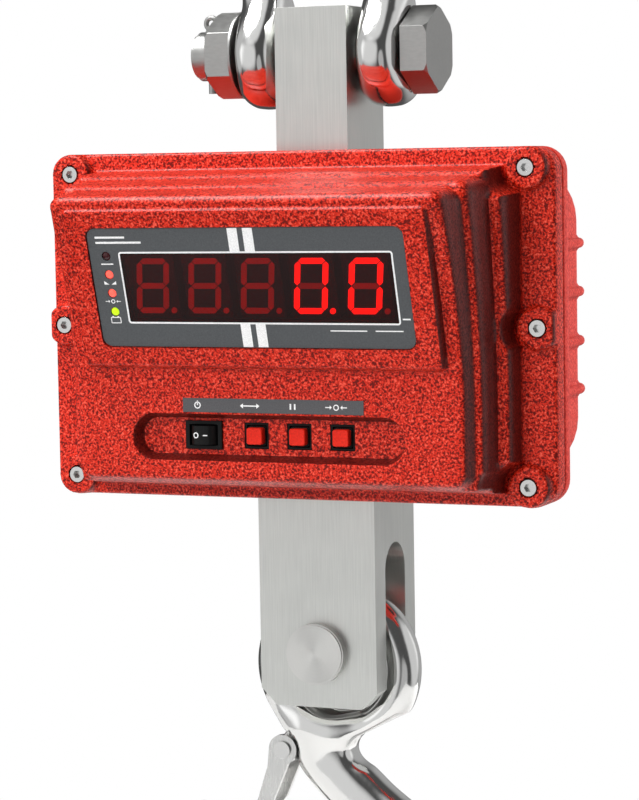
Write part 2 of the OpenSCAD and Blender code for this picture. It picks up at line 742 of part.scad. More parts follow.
// Outline of the shank, bowl and tip, with the half width scaled by k
module hook_outline(k) {
    n = len(hook_spine) - 1;
    polygon(concat([for (i = [0:n]) side(i, k)], [for (i = [n:-1:0]) side(i, -k)]));
    translate([hook_spine[n][0], hook_spine[n][1]]) circle(hook_spine[n][2] * k);
}

module hook() color("silver") at_pin() difference() {
    union() {
        translate([0, 0, eye_z]) rotate([90, 0, 0])
            rotate_extrude() translate([(eye_id + eye_stock) / 2, 0]) circle(d = eye_stock);
        plate(-bowl_t * 0.28, bowl_t * 0.28) hook_outline(1);
        plate(-bowl_t * 0.42, bowl_t * 0.42) hook_outline(0.84);
        plate(-bowl_t * 0.5, bowl_t * 0.5) hook_outline(0.6);
        translate([latch_x, 0, latch_z]) plate(-lug_t / 2, lug_t / 2) circle(latch_boss_r - 1);
        plate(-lug_t / 2, lug_t / 2) polygon([
            [latch_x, latch_z + latch_boss_r - 1], [-16, -40],
            [-16, -66], [latch_x, latch_z + 1 - latch_boss_r]
        ]);
    }
    translate([0, 0, eye_z]) rod_y(eye_id / 2, -bowl_t, bowl_t);
    translate([latch_x, 0, latch_z]) rod_y(latch_pin_r + 0.1, -bowl_t, bowl_t);
    // Room for the latch's boss on both sides of the lug
    for (s = [-1, 1]) translate([latch_x, s * (lug_t / 2 + 7.5), latch_z])
        rod_y(latch_boss_r + 1, -7.5, 7.5);
}

module latch_arm() {
    circle(latch_boss_r);
    polygon([
        [-latch_boss_r, 0], [-latch_boss_r - 1, -10], latch_bend, [latch_toe[0] - 5, latch_toe[1] + 4],
        [latch_toe[0] - 3, latch_toe[1] - 3], [latch_toe[0] + 4, latch_toe[1] - 2],
        [latch_bend[0] + 8.5, latch_bend[1] - 2], [3, -8], [latch_boss_r - 1, -4]
    ]);
}

module latch() color("silver") at_latch() difference() {
    union() {
        for (s = [-1, 1]) translate([0, s * (cheek_y + cheek_t / 2), 0])
            plate(-cheek_t / 2, cheek_t / 2) latch_arm();
        // Web that joins the two cheeks down to the toe
        plate(-cheek_y - eps, cheek_y + eps) polygon([
            [-latch_boss_r - 2, -14], latch_bend, [latch_toe[0] - 5, latch_toe[1] + 4],
            [latch_toe[0] - 3, latch_toe[1] - 3], [latch_toe[0] + 4, latch_toe[1] - 2],
            [latch_toe[0] + 3, latch_toe[1] + 6], [latch_bend[0] + 3, latch_bend[1] - 2],
            [-latch_boss_r + 1.5, -16]
        ]);
    }
    rod_y(latch_pin_r + 0.05, -20, 20);
}

module latch_pin() color("lightgray") at_latch() {
    rod_y(latch_pin_r, -cheek_y - cheek_t - 0.6, cheek_y + cheek_t + 0.6);
    for (s = [-1, 1]) translate([0, s * (cheek_y + cheek_t + 1.1), 0]) rod_y(latch_pin_r + 0.8, -0.5, 0.5);
}

module latch_spring() color("gray") at_latch() for (s = [-1, 1]) {
    for (k = [0:1]) translate([0, s * (5.6 + k * 1.8), 0]) along_y()
        rotate_extrude() translate([5.2, 0]) circle(0.85);
    translate([5.2, s * 5.6, -6.5]) cylinder(r = 0.85, h = 6.5);
}

shackle_bow();
shackle_bolt();
shackle_nut();
shackle_washer();
cotter_pin();
load_cell();
gauge_covers();
cell_cable();
top_seal();
bottom_seal();
cell_bracket();
bracket_bolts();
front_casting();
rear_casting();
case_gasket();
case_screws();
display_panel();
display_window();
window_seal();
digit(0);  // digit_1
digit(1);  // digit_2
digit(2);  // digit_3
digit(3);  // digit_4
digit(4);  // digit_5
status_leds();
display_board();
display_screws();
display_cable();
key_label();
key_board();
key_frames();
key_cap(0);  // key_cap_1
key_cap(1);  // key_cap_2
key_cap(2);  // key_cap_3
rocker_housing();
rocker();
main_board();
main_board_screws();
battery();
battery_strap();
battery_lead();
battery_door();
door_gasket();
door_screws();
rating_plate();
charge_socket();
socket_cap();
cap_hinge_pin();
clevis_pin();
pin_washer();
pin_circlip();
hook();
latch();
latch_pin();
latch_spring();
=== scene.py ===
"""Looks of a hanging crane scale: shackle, load cell, cast case with a red display, and a latched hook.

Sizes are in millimetres, in the frame's axes: +Z up, the display faces -Y. Case pieces are measured from the
case's centre and hook pieces from the clevis pin's axis; both come from the frame.
"""
import math

import bmesh
import bpy
import numpy as np
from mathutils import Matrix, Vector


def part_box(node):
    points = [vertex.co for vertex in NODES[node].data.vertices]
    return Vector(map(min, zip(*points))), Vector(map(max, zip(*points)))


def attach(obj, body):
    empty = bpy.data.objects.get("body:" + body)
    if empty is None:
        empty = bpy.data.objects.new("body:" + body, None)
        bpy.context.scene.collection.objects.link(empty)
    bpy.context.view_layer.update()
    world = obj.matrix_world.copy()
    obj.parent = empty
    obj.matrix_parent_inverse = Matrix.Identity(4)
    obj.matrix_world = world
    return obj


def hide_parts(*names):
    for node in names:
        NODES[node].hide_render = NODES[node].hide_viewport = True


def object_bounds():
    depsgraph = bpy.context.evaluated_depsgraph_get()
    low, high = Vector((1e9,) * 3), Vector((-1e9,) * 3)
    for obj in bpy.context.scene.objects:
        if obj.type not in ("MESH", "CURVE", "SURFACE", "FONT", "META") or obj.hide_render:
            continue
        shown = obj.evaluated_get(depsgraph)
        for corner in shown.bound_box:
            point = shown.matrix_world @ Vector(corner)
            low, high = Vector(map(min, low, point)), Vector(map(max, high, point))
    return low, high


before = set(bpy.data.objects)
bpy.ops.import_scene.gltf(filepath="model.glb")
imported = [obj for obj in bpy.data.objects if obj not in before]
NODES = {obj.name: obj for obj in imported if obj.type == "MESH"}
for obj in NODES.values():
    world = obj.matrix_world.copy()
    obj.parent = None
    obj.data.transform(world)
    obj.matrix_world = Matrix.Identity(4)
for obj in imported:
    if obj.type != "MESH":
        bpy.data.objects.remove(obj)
CAD_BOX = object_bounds()
MM = 0.001


def box_mm(node):
    """Lowest corner, highest corner and centre of a CAD node, in millimetres."""
    low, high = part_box(node)
    return low / MM, high / MM, (low + high) / 2 / MM


# ---------------------------------------------------------------- measures from the frame
_, CASTING_HIGH, CASTING_MID = box_mm("front_casting")
REAR_LOW, _, _ = box_mm("rear_casting")
CASE_Z = CASTING_MID.z
FLANGE_X = CASTING_HIGH.x
FLANGE_Z = CASTING_HIGH.z - CASE_Z
SPLIT_Y = CASTING_HIGH.y
REAR_Y = REAR_LOW.y
PIN_Z = box_mm("clevis_pin")[2].z
BOLT_Z = box_mm("shackle_nut")[2].z
_, SCREW_HIGH, _ = box_mm("case_screws")
CAP_HEAD_R = 4.25
SCREW_ROOM_R = CAP_HEAD_R + 0.6
SCREW_X = 130.0
MID_SCREW_X = SCREW_HIGH.x - CAP_HEAD_R
SCREW_Z = SCREW_HIGH.z - CASE_Z - CAP_HEAD_R
SCREWS = [(s * x, z) for s in (-1, 1) for x, z in ((SCREW_X, SCREW_Z), (MID_SCREW_X, 0), (SCREW_X, -SCREW_Z))]

FLANGE_FRONT = SPLIT_Y - 11
FLANGE_R = 13
BOSS_R = 11.5
BOSS_H = 6
WALL = 5
THINNEST = 3

# Each tier of the front casting: half width, bottom, top, forward distance of its face, reach of its brow
TIERS = [(126, -86, 83, 69, 11), (117.5, -83.5, 78, 86, 18), (111, -80.5, 73, 94.6, 31)]
TIER_SCOOP_R = [13.5, 16.0, 18.5]
TIER_R = 9
SWEEP_Z = -35
BROW_Z = 67
SWEEP_POWER = 1.55

BLOCK_HALF_W = 101
BLOCK_TOP = 64
BLOCK_BOTTOM = -19.3
BLOCK_FRONT = 127
BLOCK_R = 3
TILT = math.radians(17)
PANEL_Z = 22.9
PANEL_FORWARD = BLOCK_FRONT - (BLOCK_TOP - PANEL_Z) * math.tan(TILT)
PANEL_W = 175
PANEL_H = 65
PANEL_R = 5.3
PANEL_GAP = 0.3
PANEL_SEAT = 2
WINDOW_X = 4.9
WINDOW_W = 150
WINDOW_H = 37.6

RECESS_W = 153
RECESS_H = 24
RECESS_Z = -56
RECESS_DEPTH = 8
RECESS_X_RANGE = (-RECESS_W / 2 - 1, RECESS_W / 2 + 1)
RECESS_Z_RANGE = (CASE_Z + RECESS_Z - RECESS_H / 2 - 1, CASE_Z + RECESS_Z + RECESS_H / 2 + 1)
FLOOR_Y = -(TIERS[2][3] - RECESS_DEPTH)
KEY_LOW, KEY_HIGH, KEY_MID = box_mm("key_cap_1")
KEY_Z = KEY_MID.z - CASE_Z
KEY_X = [box_mm(f"key_cap_{i}")[2].x for i in (1, 2, 3)]
KEY_FRAME_W = 13.8
KEY_R = 1.2
KEY_EDGE_R = 0.6
ROCKER_X = box_mm("rocker_housing")[2].x


# ---------------------------------------------------------------- mesh helpers
def closed_object(name, points, faces):
    """An object in the scene from points in millimetres in the frame, with its faces turned outwards."""
    mesh = bpy.data.meshes.new(name)
    mesh.from_pydata([tuple(p) for p in np.asarray(points, float) * MM], [], [tuple(f) for f in faces])
    turned_out = bmesh.new()
    turned_out.from_mesh(mesh)
    bmesh.ops.recalc_face_normals(turned_out, faces=turned_out.faces)
    turned_out.to_mesh(mesh)
    turned_out.free()
    made = bpy.data.objects.new(name, mesh)
    bpy.context.scene.collection.objects.link(made)
    return made


def smooth_faces(piece, sharp=35):
    """Shades a piece smoothly, with an edge wherever faces meet at more than sharp degrees."""
    piece.data.shade_smooth()
    piece.data.set_sharp_from_angle(angle=math.radians(sharp))


def add_piece(name, shape, body, materials, replaces=(), face_materials=None, sharp=35):
    """Makes a piece from (points, faces), gives it its materials and makes it ride on its body."""
    piece = closed_object(name, *shape)
    for material in materials:
        piece.data.materials.append(material)
    smooth_faces(piece, sharp)
    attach(piece, body)
    if replaces:
        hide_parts(*replaces)
    if face_materials is not None:
        piece.data.polygons.foreach_set("material_index", face_materials)
    return piece


def at_case(shape):
    """Moves (points, faces) measured from the case's centre into the frame."""
    points, faces = shape
    return np.asarray(points, float) + (0, 0, CASE_Z), faces


def on_panel(shape):
    """Places (points, faces) drawn in the display's tilted plane: x, depth behind it, height along it."""
    points, faces = shape
    p = np.asarray(points, float)
    cos, sin = math.cos(TILT), math.sin(TILT)
    y = -PANEL_FORWARD + p[:, 1] * cos - p[:, 2] * sin
    z = PANEL_Z + p[:, 1] * sin + p[:, 2] * cos
    return at_case((np.column_stack([p[:, 0], y, z]), faces))


def quarter_turn(steps):
    """Angles from 0 to 90 degrees, in radians."""
    return [math.pi / 2 * k / steps for k in range(steps + 1)]


def full_turn(steps):
    """Angles round a circle, in radians."""
    return np.arange(steps) * 2 * math.pi / steps


def loft(rings, closed=False):
    """Quads between rings of equal length, with a cap on each open end."""
    n = len(rings[0])
    points = np.concatenate(rings)
    faces = []
    last = len(rings) if closed else len(rings) - 1
    for k in range(last):
        a, b = k * n, (k + 1) % len(rings) * n
        faces += [(a + i, a + (i + 1) % n, b + (i + 1) % n, b + i) for i in range(n)]
    if not closed:
        faces.append(tuple(range(n)))
        faces.append(tuple(range(len(points) - n, len(points))))
    return points, faces


def rounded_outline(half_w, half_h, r, steps=8):
    """Outline of a rounded rectangle as (x, z) pairs."""
    out = []
    for quarter in range(4):
        sx = 1 if quarter in (0, 3) else -1
        sz = 1 if quarter < 2 else -1
        for k in range(steps + 1):
            angle = math.pi / 2 * (quarter + k / steps)
            out.append((sx * (half_w - r) + r * math.cos(angle), sz * (half_h - r) + r * math.sin(angle)))
    return np.array(out)


def ring_xz(outline, y, centre=(0, 0)):
    """An outline drawn in X and Z, placed at depth y."""
    return np.column_stack([outline[:, 0] + centre[0], np.full(len(outline), y), outline[:, 1] + centre[1]])


def join_parts(parts):
    """Joins several (points, faces) pairs into one."""
    points, faces, start = [], [], 0
    for part_points, part_faces in parts:
        points.append(np.asarray(part_points, float))
        faces += [tuple(i + start for i in face) for face in part_faces]
        start += len(part_points)
    return np.concatenate(points), faces


def rounded_prism(half_w, half_h, r, y0, y1, centre=(0, 0), edge=0.0):
    """A rounded plate from y0 to y1 with its front and back edges rounded off."""
    turns = [share * math.pi / 2 for share in ((0, 0.3, 0.6, 1) if edge else (1,))]
    stations = [(turn, y0, 1) for turn in turns] + [(turn, y1, -1) for turn in reversed(turns)]
    rings = []
    for turn, end, inwards in stations:
        inset = edge * (1 - math.sin(turn))
        outline = rounded_outline(half_w - inset, half_h - inset, max(r - inset, 0.1), 5)
        rings.append(ring_xz(outline, end + inwards * edge * (1 - math.cos(turn)), centre))
    return loft(rings)


def carve(piece, parts):
    """Cuts closed parts, given as (points, faces) in millimetres, out of a piece."""
    cutter = closed_object("cutter", *join_parts(parts))
    modifier = piece.modifiers.new("cut", "BOOLEAN")
    modifier.operation = "DIFFERENCE"
    modifier.solver = "EXACT"
    modifier.object = cutter
    apply_modifiers(piece)
    bpy.data.objects.remove(cutter)


def apply_modifiers(piece):
    """Replaces a piece's mesh with the result of its modifiers."""
    bpy.context.view_layer.update()
    result = bpy.data.meshes.new_from_object(piece.evaluated_get(bpy.context.evaluated_depsgraph_get()))
    piece.modifiers.clear()
    piece.data = result


def box_part(low, high):
    """A closed box as (points, faces)."""
    xs, ys, zs = zip(low, high)
    points = [(x, y, z) for x in xs for y in ys for z in zs]
    faces = [(0, 1, 3, 2), (4, 6, 7, 5), (0, 4, 5, 1), (2, 3, 7, 6), (0, 2, 6, 4), (1, 5, 7, 3)]
    return np.array(points, float), faces


def rod_part(centre, r, low, high, axis=1, steps=32):
    """A closed cylinder along one axis as (points, faces)."""
    angles = full_turn(steps)
    rings = []
    for end in (low, high):
        ring = np.zeros((steps, 3))
        ring[:, axis] = end
        ring[:, (axis + 1) % 3] = centre[0] + r * np.cos(angles)
        ring[:, (axis + 2) % 3] = centre[1] + r * np.sin(angles)
        rings.append(ring)
    return loft(rings)


# ---------------------------------------------------------------- materials
def new_material(name, **values):
    """A node material; values set the Principled shader's own sockets."""
    material = bpy.data.materials.new(name)
    material.use_nodes = True
    shader = material.node_tree.nodes["Principled BSDF"]
    for key, value in values.items():
        shader.inputs[key.replace("_", " ")].default_value = value
    return material


def feed(tree, socket, value):
    """Links a socket to an input, or sets the input to a plain value."""
    if isinstance(value, bpy.types.NodeSocket):
        tree.links.new(value, socket)
    else:
        socket.default_value = value


def node_of(owner, kind, **inputs):
    """Adds a node to a material or world and sets or links its inputs by name."""
    node = owner.node_tree.nodes.new(kind)
    for key, value in inputs.items():
        feed(owner.node_tree, node.inputs[key.replace("_", " ")], value)
    return node


def noise_field(material, size_mm, detail=2.0, stretch=(1, 1, 1), roughness=0.5, distortion=0.0):
    """Noise fixed to the piece, with grains of about size_mm, drawn out along an axis by stretch."""
    where = node_of(material, "ShaderNodeTexCoord").outputs["Object"]
    scaled = node_of(material, "ShaderNodeMapping", Vector=where)
    scaled.inputs["Scale"].default_value = [1 / s for s in stretch]
    field = node_of(material, "ShaderNodeTexNoise", Vector=scaled.outputs["Vector"])
    field.inputs["Scale"].default_value = 0.7 / (size_mm * MM)
    field.inputs["Detail"].default_value = detail
    field.inputs["Roughness"].default_value = roughness
    field.inputs["Distortion"].default_value = distortion
    return field.outputs["Fac"]


def ramp(material, fac, stops):
    """A colour ramp over fac; stops are (position, colour)."""
    node = node_of(material, "ShaderNodeValToRGB", Fac=fac)
    elements = node.color_ramp.elements
    while len(elements) < len(stops):
        elements.new(0.5)
    for element, (position, colour) in zip(elements, stops):
        element.position = position
        element.color = (*colour, 1)
    return node.outputs["Color"]


def remap(material, fac, low, high, to_low, to_high):
    """Maps fac from one range to another."""
    node = node_of(material, "ShaderNodeMapRange", Value=fac)
    node.inputs["From Min"].default_value = low
    node.inputs["From Max"].default_value = high
    node.inputs["To Min"].default_value = to_low
    node.inputs["To Max"].default_value = to_high
    return node.outputs["Result"]


def set_input(material, name, socket):
    """Links a socket to the Principled shader."""
    shader = material.node_tree.nodes["Principled BSDF"]
    material.node_tree.links.new(socket, shader.inputs[name])


def add_bump(material, height, strength, distance_mm):
    """Adds a bump from height on top of any bump already there."""
    shader = material.node_tree.nodes["Principled BSDF"]
    bump = node_of(material, "ShaderNodeBump", Height=height)
    bump.inputs["Strength"].default_value = strength
    bump.inputs["Distance"].default_value = distance_mm * MM
    earlier = shader.inputs["Normal"].links
    if earlier:
        material.node_tree.links.new(earlier[0].from_socket, bump.inputs["Normal"])
    material.node_tree.links.new(bump.outputs["Normal"], shader.inputs["Normal"])


def between(material, value, low, high, soft):
    """1 where value lies between low and high, fading out over soft."""
    rise = remap(material, value, low - soft, low, 0, 1)
    fall = remap(material, value, high, high + soft, 1, 0)
    return math_node(material, "MULTIPLY", rise, fall)


def math_node(owner, operation, *values):
    """The result of a maths operation on sockets or numbers, in a material or world."""
    node = owner.node_tree.nodes.new("ShaderNodeMath")
    node.operation = operation
    for socket, value in zip(node.inputs, values):
        feed(owner.node_tree, socket, value)
    return node.outputs["Value"]


def split(material, vector):
    """The x, y and z of a vector socket."""
    return node_of(material, "ShaderNodeSeparateXYZ", Vector=vector).outputs


def painted_wall_shade(paint):
    """Mask of painted shade: 1 on the casting's steep right-hand walls and on the walls of the key recess, 0
    elsewhere.
    """
    where = node_of(paint, "ShaderNodeTexCoord").outputs
    place, facing = split(paint, where["Object"]), split(paint, where["Normal"])
    raised = remap(paint, place["Y"], (FLANGE_FRONT - 4) * MM, (FLANGE_FRONT - 1) * MM, 1, 0)
    right = math_node(paint, "MULTIPLY", remap(paint, facing["X"], 0.45, 0.85, 0, 1), raised)
    steep = remap(paint, math_node(paint, "ABSOLUTE", facing["Y"]), 0.55, 0.88, 1, 0)
    across = between(paint, place["X"], *(x * MM for x in RECESS_X_RANGE), 1 * MM)
    up = between(paint, place["Z"], *(z * MM for z in RECESS_Z_RANGE), 1 * MM)
    recess = math_node(paint, "MULTIPLY", steep, math_node(paint, "MULTIPLY", across, up))
    return math_node(paint, "MAXIMUM", right, recess)


def hammer_enamel(name, dark, red, pale, grain_mm, depth, walls=False):
    """Hammer-finish enamel: wormy dark specks in glossy red, with a pebbled surface; with walls set, painted
    shade darkens the steep right-hand walls and the key recess's walls.
    """
    paint = new_material(name, Roughness=0.36, Specular_IOR_Level=0.15, Coat_Weight=0.25, Coat_Roughness=0.3)
    specks = noise_field(paint, grain_mm, detail=1.2, roughness=0.5, distortion=0.5)
    colour = ramp(paint, specks, [(0.41, dark), (0.50, red), (0.57, red), (0.68, pale)])
    if walls:
        # painted shade: the enamel colour is mixed towards near-black on walls that the flange and the recess
        # keep out of the light
        blend = paint.node_tree.nodes.new("ShaderNodeMix")
        blend.data_type = "RGBA"
        shade = math_node(paint, "MULTIPLY", painted_wall_shade(paint), 0.85)
        paint.node_tree.links.new(shade, blend.inputs["Factor"])
        paint.node_tree.links.new(colour, blend.inputs[6])
        # near-black red of the painted shade on those walls
        blend.inputs[7].default_value = (0.035, 0.004, 0.004, 1)
        colour = blend.outputs[2]
    set_input(paint, "Base Color", colour)
    set_input(paint, "Roughness", remap(paint, specks, 0.35, 0.65, 0.46, 0.30))
    add_bump(paint, specks, depth, 0.35)
    return paint


def polished(name, colour, roughness, wave_mm, wave_depth):
    """Polished forged steel: slow waves in the surface and faint polishing marks."""
    steel = new_material(name, Metallic=1.0, Base_Color=(*colour, 1))
    marks = noise_field(steel, 1.2, detail=4, stretch=(1, 1, 6))
    set_input(steel, "Roughness", remap(steel, marks, 0.3, 0.7, roughness * 0.7, roughness * 1.4))
    add_bump(steel, noise_field(steel, wave_mm, detail=1), 1.0, wave_depth)
    add_bump(steel, marks, 0.04, 0.1)
    return steel


def ground(name, colour, roughness, stretch, line_mm=0.5):
    """Fine-ground steel: close parallel lines, with slight cloudiness."""
    steel = new_material(name, Metallic=1.0)
    lines = noise_field(steel, line_mm, detail=3, stretch=stretch)
    cloud = noise_field(steel, 18, detail=3)
    tone = math_node(steel, "MULTIPLY_ADD", cloud, 0.6, lines)
    low = [c * 0.93 for c in colour]
    high = [min(1, c * 1.05) for c in colour]
    set_input(steel, "Base Color", ramp(steel, tone, [(0.55, low), (1.0, high)]))
    set_input(steel, "Roughness", remap(steel, tone, 0.5, 1.1, roughness * 0.85, roughness * 1.15))
    add_bump(steel, lines, 0.05, 0.1)
    return steel


def moulded(name, colour, roughness, grain_mm=0.6, depth=0.06, **values):
    """Moulded plastic or rubber with a fine even grain."""
    plastic = new_material(name, **values)
    grain = noise_field(plastic, grain_mm, detail=3)
    low = [c * 0.85 for c in colour]
    high = [min(1, c * 1.15) for c in colour]
    set_input(plastic, "Base Color", ramp(plastic, grain, [(0.3, low), (0.7, high)]))
    set_input(plastic, "Roughness", remap(plastic, grain, 0.3, 0.7, roughness * 0.9, min(1, roughness * 1.1)))
    add_bump(plastic, grain, depth, 0.1)
    return plastic


def turned(name, colour, axis_point):
    """A turned steel face: fine rings round an axis along Y, with highlights that fan out from it."""
    steel = new_material(name, Metallic=1.0, Base_Color=(*colour, 1), Anisotropic=0.75)
    where = node_of(steel, "ShaderNodeTexCoord").outputs["Object"]
    centred = node_of(steel, "ShaderNodeMapping", Vector=where)
    centred.inputs["Location"].default_value = [-c * MM for c in axis_point]
    rings = node_of(steel, "ShaderNodeTexWave", Vector=centred.outputs["Vector"])
    rings.wave_type = "RINGS"
    rings.rings_direction = "Y"
    rings.inputs["Scale"].default_value = 0.16 / MM
    rings.inputs["Distortion"].default_value = 1.5
    rings.inputs["Detail"].default_value = 3
    set_input(steel, "Roughness", remap(steel, rings.outputs["Fac"], 0, 1, 0.28, 0.4))
    add_bump(steel, rings.outputs["Fac"], 0.06, 0.05)
    tangent = node_of(steel, "ShaderNodeTangent")
    tangent.direction_type = "RADIAL"
    tangent.axis = "Y"
    set_input(steel, "Tangent", tangent.outputs["Tangent"])
    return steel


def glowing(name, colour, strength, roughness=0.3):
    """A glowing part: coloured plastic that gives light, a little uneven like a real diffuser; on the unlit
    segments this glow is painted light.
    """
    lamp = new_material(name, Base_Color=(*[c * 0.6 for c in colour], 1), Roughness=roughness)
    spread = noise_field(lamp, 2.5, detail=1)
    set_input(lamp, "Emission Color", ramp(lamp, spread, [(0.3, [c * 0.9 for c in colour]), (0.7, colour)]))
    lamp.node_tree.nodes["Principled BSDF"].inputs["Emission Strength"].default_value = strength
    return lamp


# the front enamel carries painted shade on its right-hand and recess walls; the rear enamel has none
ENAMEL = hammer_enamel("hammer_enamel", (0.14, 0.003, 0.001), (0.62, 0.020, 0.006), (0.86, 0.10, 0.06),
                       0.85, 0.6, walls=True)
ENAMEL_REAR = hammer_enamel("hammer_enamel_rear", (0.46, 0.012, 0.005), (0.66, 0.03, 0.016),
                            (0.80, 0.06, 0.035), 0.95, 0.4)
POLISHED = polished("polished_steel", (0.80, 0.80, 0.79), 0.11, 16, 0.7)
GROUND = ground("ground_steel", (0.70, 0.71, 0.685), 0.36, (1, 1, 40))
TURNED = turned("turned_steel", (0.72, 0.72, 0.70), (0, 0, PIN_Z))
ZINC = ground("zinc_steel", (0.46, 0.46, 0.45), 0.36, (3, 1, 1), 0.9)
LATCH_STEEL = ground("latch_steel", (0.72, 0.72, 0.71), 0.26, (1, 1, 12), 0.7)
SCREW_STEEL = ground("screw_steel", (0.78, 0.78, 0.77), 0.22, (1, 4, 1), 0.4)
RUBBER = moulded("black_rubber", (0.014, 0.014, 0.014), 0.75, 0.8, 0.15)
PANEL_GREY = moulded("panel_grey", (0.080, 0.085, 0.090), 0.5, 0.5, 0.03, Specular_IOR_Level=0.3)
LABEL_GREY = moulded("label_grey", (0.088, 0.087, 0.092), 0.5, 0.5, 0.03, Specular_IOR_Level=0.3)
BLACK = moulded("black_plastic", (0.004, 0.004, 0.004), 0.5, 0.5, 0.05, Specular_IOR_Level=0.25)
KEY_RED = moulded("key_red", (0.70, 0.020, 0.008), 0.45, 0.7, 0.03, Specular_IOR_Level=0.25)
WHITE_INK = moulded("white_ink", (0.86, 0.86, 0.86), 0.5, 0.4, 0.02)
BOARD = moulded("board_green", (0.012, 0.11, 0.04), 0.4, 3.0, 0.05)
CABLE = moulded("cable_grey", (0.3, 0.3, 0.3), 0.6, 1.0, 0.08)
BATTERY = moulded("battery_case", (0.08, 0.09, 0.10), 0.55, 1.0, 0.08)
PLATE = ground("plate_silver", (0.75, 0.75, 0.75), 0.35, (30, 1, 1))
MODULE = moulded("digit_module", (0.008, 0.001, 0.001), 0.5, 0.5, 0.03)
# painted glow: the unlit segments are no lamp, yet they get a faint red emission
SEGMENT_OFF_PAINTED_GLOW = glowing("segment_unlit_painted_glow", (0.50, 0.010, 0.004), 0.36)
SEGMENT_ON = glowing("segment_lit", (1.0, 0.05, 0.02), 2.4)
LED_OFF = moulded("led_unlit", (0.04, 0.004, 0.006), 0.2, 0.5, 0.02)
LED_RED = glowing("led_red", (1.0, 0.10, 0.07), 1.2)
LED_GREEN = glowing("led_green", (0.48, 0.75, 0.005), 1.0)


def window_material():
    """Dark red acrylic filter that shows the lit segments behind it."""
    acrylic = new_material("red_window", Roughness=0.05, IOR=1.49, Transmission_Weight=1.0,
                           Specular_IOR_Level=0.1)
    haze = noise_field(acrylic, 40, detail=1)
    tint = ramp(acrylic, haze, [(0.3, (0.60, 0.02, 0.012)), (0.7, (0.72, 0.035, 0.02))])
    set_input(acrylic, "Base Color", tint)
    return acrylic


WINDOW = window_material()


# ---------------------------------------------------------------- front casting
GRID_FINE = 0.7
SNAP = 0.12


def sweep(z):
    """How far a tier's face has swept forwards at height z, from 0 to 1 at the brow."""
    share = np.clip((np.minimum(z, BROW_Z) - SWEEP_Z) / (BROW_Z - SWEEP_Z), 0, None)
    return share ** SWEEP_POWER


def inside_box(x, z, half_w, bottom, top, r):
    """Distance inside a rounded rectangle, negative outside it."""
    cx = np.abs(x) - (half_w - r)
    cz = np.abs(z - (top + bottom) / 2) - ((top - bottom) / 2 - r)
    outside = np.hypot(np.maximum(cx, 0), np.maximum(cz, 0))
    return r - outside - np.minimum(np.maximum(cx, cz), 0)


def inside_stadium(x, z):
    """Distance inside the key recess."""
    reach = np.maximum(np.abs(x) - (RECESS_W - RECESS_H) / 2, 0)
    return RECESS_H / 2 - np.hypot(reach, z - RECESS_Z)


def from_screw(x, z):
    """Distance to the nearest case screw's axis."""
    return np.min([np.hypot(x - sx, z - sz) for sx, sz in SCREWS], axis=0)


def inside_panel(x, z):
    """Distance inside the display panel's recess, measured along the slope."""
    slope = (z - PANEL_Z) / math.cos(TILT)
    half_h = PANEL_H / 2 + PANEL_GAP
    return inside_box(x, slope, PANEL_W / 2 + PANEL_GAP, -half_h, half_h, PANEL_R)


def inside_flange(x, z):
    """Distance inside the flange's outline."""
    return inside_box(x, z, FLANGE_X, -FLANGE_Z, FLANGE_Z, FLANGE_R)


def inside_screw_room(x, z):
    """Distance inside the round sinks under the case screws' heads."""
    return SCREW_ROOM_R - from_screw(x, z)


def wall(d, height, crown=3.0, foot=1.5, draft=1.6):
    """Height of a cast wall at distance d inside its outline: hollow foot, drafted side, round crown."""
    scale = np.minimum(1, height / (crown + foot))
    crown, foot = crown * scale, foot * scale
    foot_w = np.maximum(foot, 1e-6)
    crown_w = np.maximum(crown, 1e-6)
    a = np.clip((d + foot_w) / foot_w, 0, 1)
    c = np.clip((d - draft) / crown_w, 0, 1)
    side = (height - crown - foot) * np.clip(d / draft, 0, 1)
    return foot * (1 - np.sqrt(1 - a * a)) + side + crown * np.sqrt(1 - (1 - c) ** 2)


def tier_inside(index, x, z, inset=0):
    """Distance inside a tier, whose corners give way round the screw bosses."""
    half_w, bottom, top = TIERS[index][:3]
    box = inside_box(x, z, half_w, bottom, top, TIER_R) - inset
    return np.minimum(box, from_screw(x, z) - TIER_SCOOP_R[index] - inset)


def block_front(z):
    """Forward distance of the display block's tilted face."""
    return BLOCK_FRONT - (BLOCK_TOP - z) * math.tan(TILT)


def front_height(x, z):
    """Forward distance of the front casting's outer surface."""
    base = -FLANGE_FRONT
    rim_r = 2
    edge = np.clip(inside_flange(x, z), 0, rim_r)
    h = base - rim_r + np.sqrt(rim_r**2 - (rim_r - edge) ** 2)
    h = h + wall(BOSS_R - from_screw(x, z), BOSS_H, crown=1.6, foot=1.2, draft=0.6)
    level = base
    for index, (_, _, top, front, reach) in enumerate(TIERS):
        face = front + reach * sweep(z)
        near_top = np.clip((z - top + 25) / 15, 0, 1)
        h = h + wall(tier_inside(index, x, z), face - level, crown=3.0 + 3.0 * near_top, foot=1.8)
        level = face
    in_block = inside_box(x, z, BLOCK_HALF_W, BLOCK_BOTTOM, BLOCK_TOP, BLOCK_R)
    h = h + wall(in_block, np.maximum(block_front(z) - level, 0.01), crown=1.4, foot=1.2, draft=0.7)
    h = h - wall(inside_stadium(x, z), RECESS_DEPTH, crown=1.0, foot=0.9, draft=2.0)
    h = np.where(inside_panel(x, z) > 0, block_front(z) - PANEL_SEAT / math.cos(TILT), h)
    return np.where(inside_screw_room(x, z) > 0, base + 1, h)


def back_height(x, z, front):
    """Forward distance of the front casting's inner surface."""
    h = np.full_like(x, -SPLIT_Y)
    level = -SPLIT_Y
    for index in (1, 2):
        front_low, reach = TIERS[index][3:]
        face = front_low + reach * sweep(z) - WALL
        h = h + wall(tier_inside(index, x, z, WALL), face - level, crown=3, foot=3, draft=2)
        level = face
    return np.minimum(h, front - THINNEST)


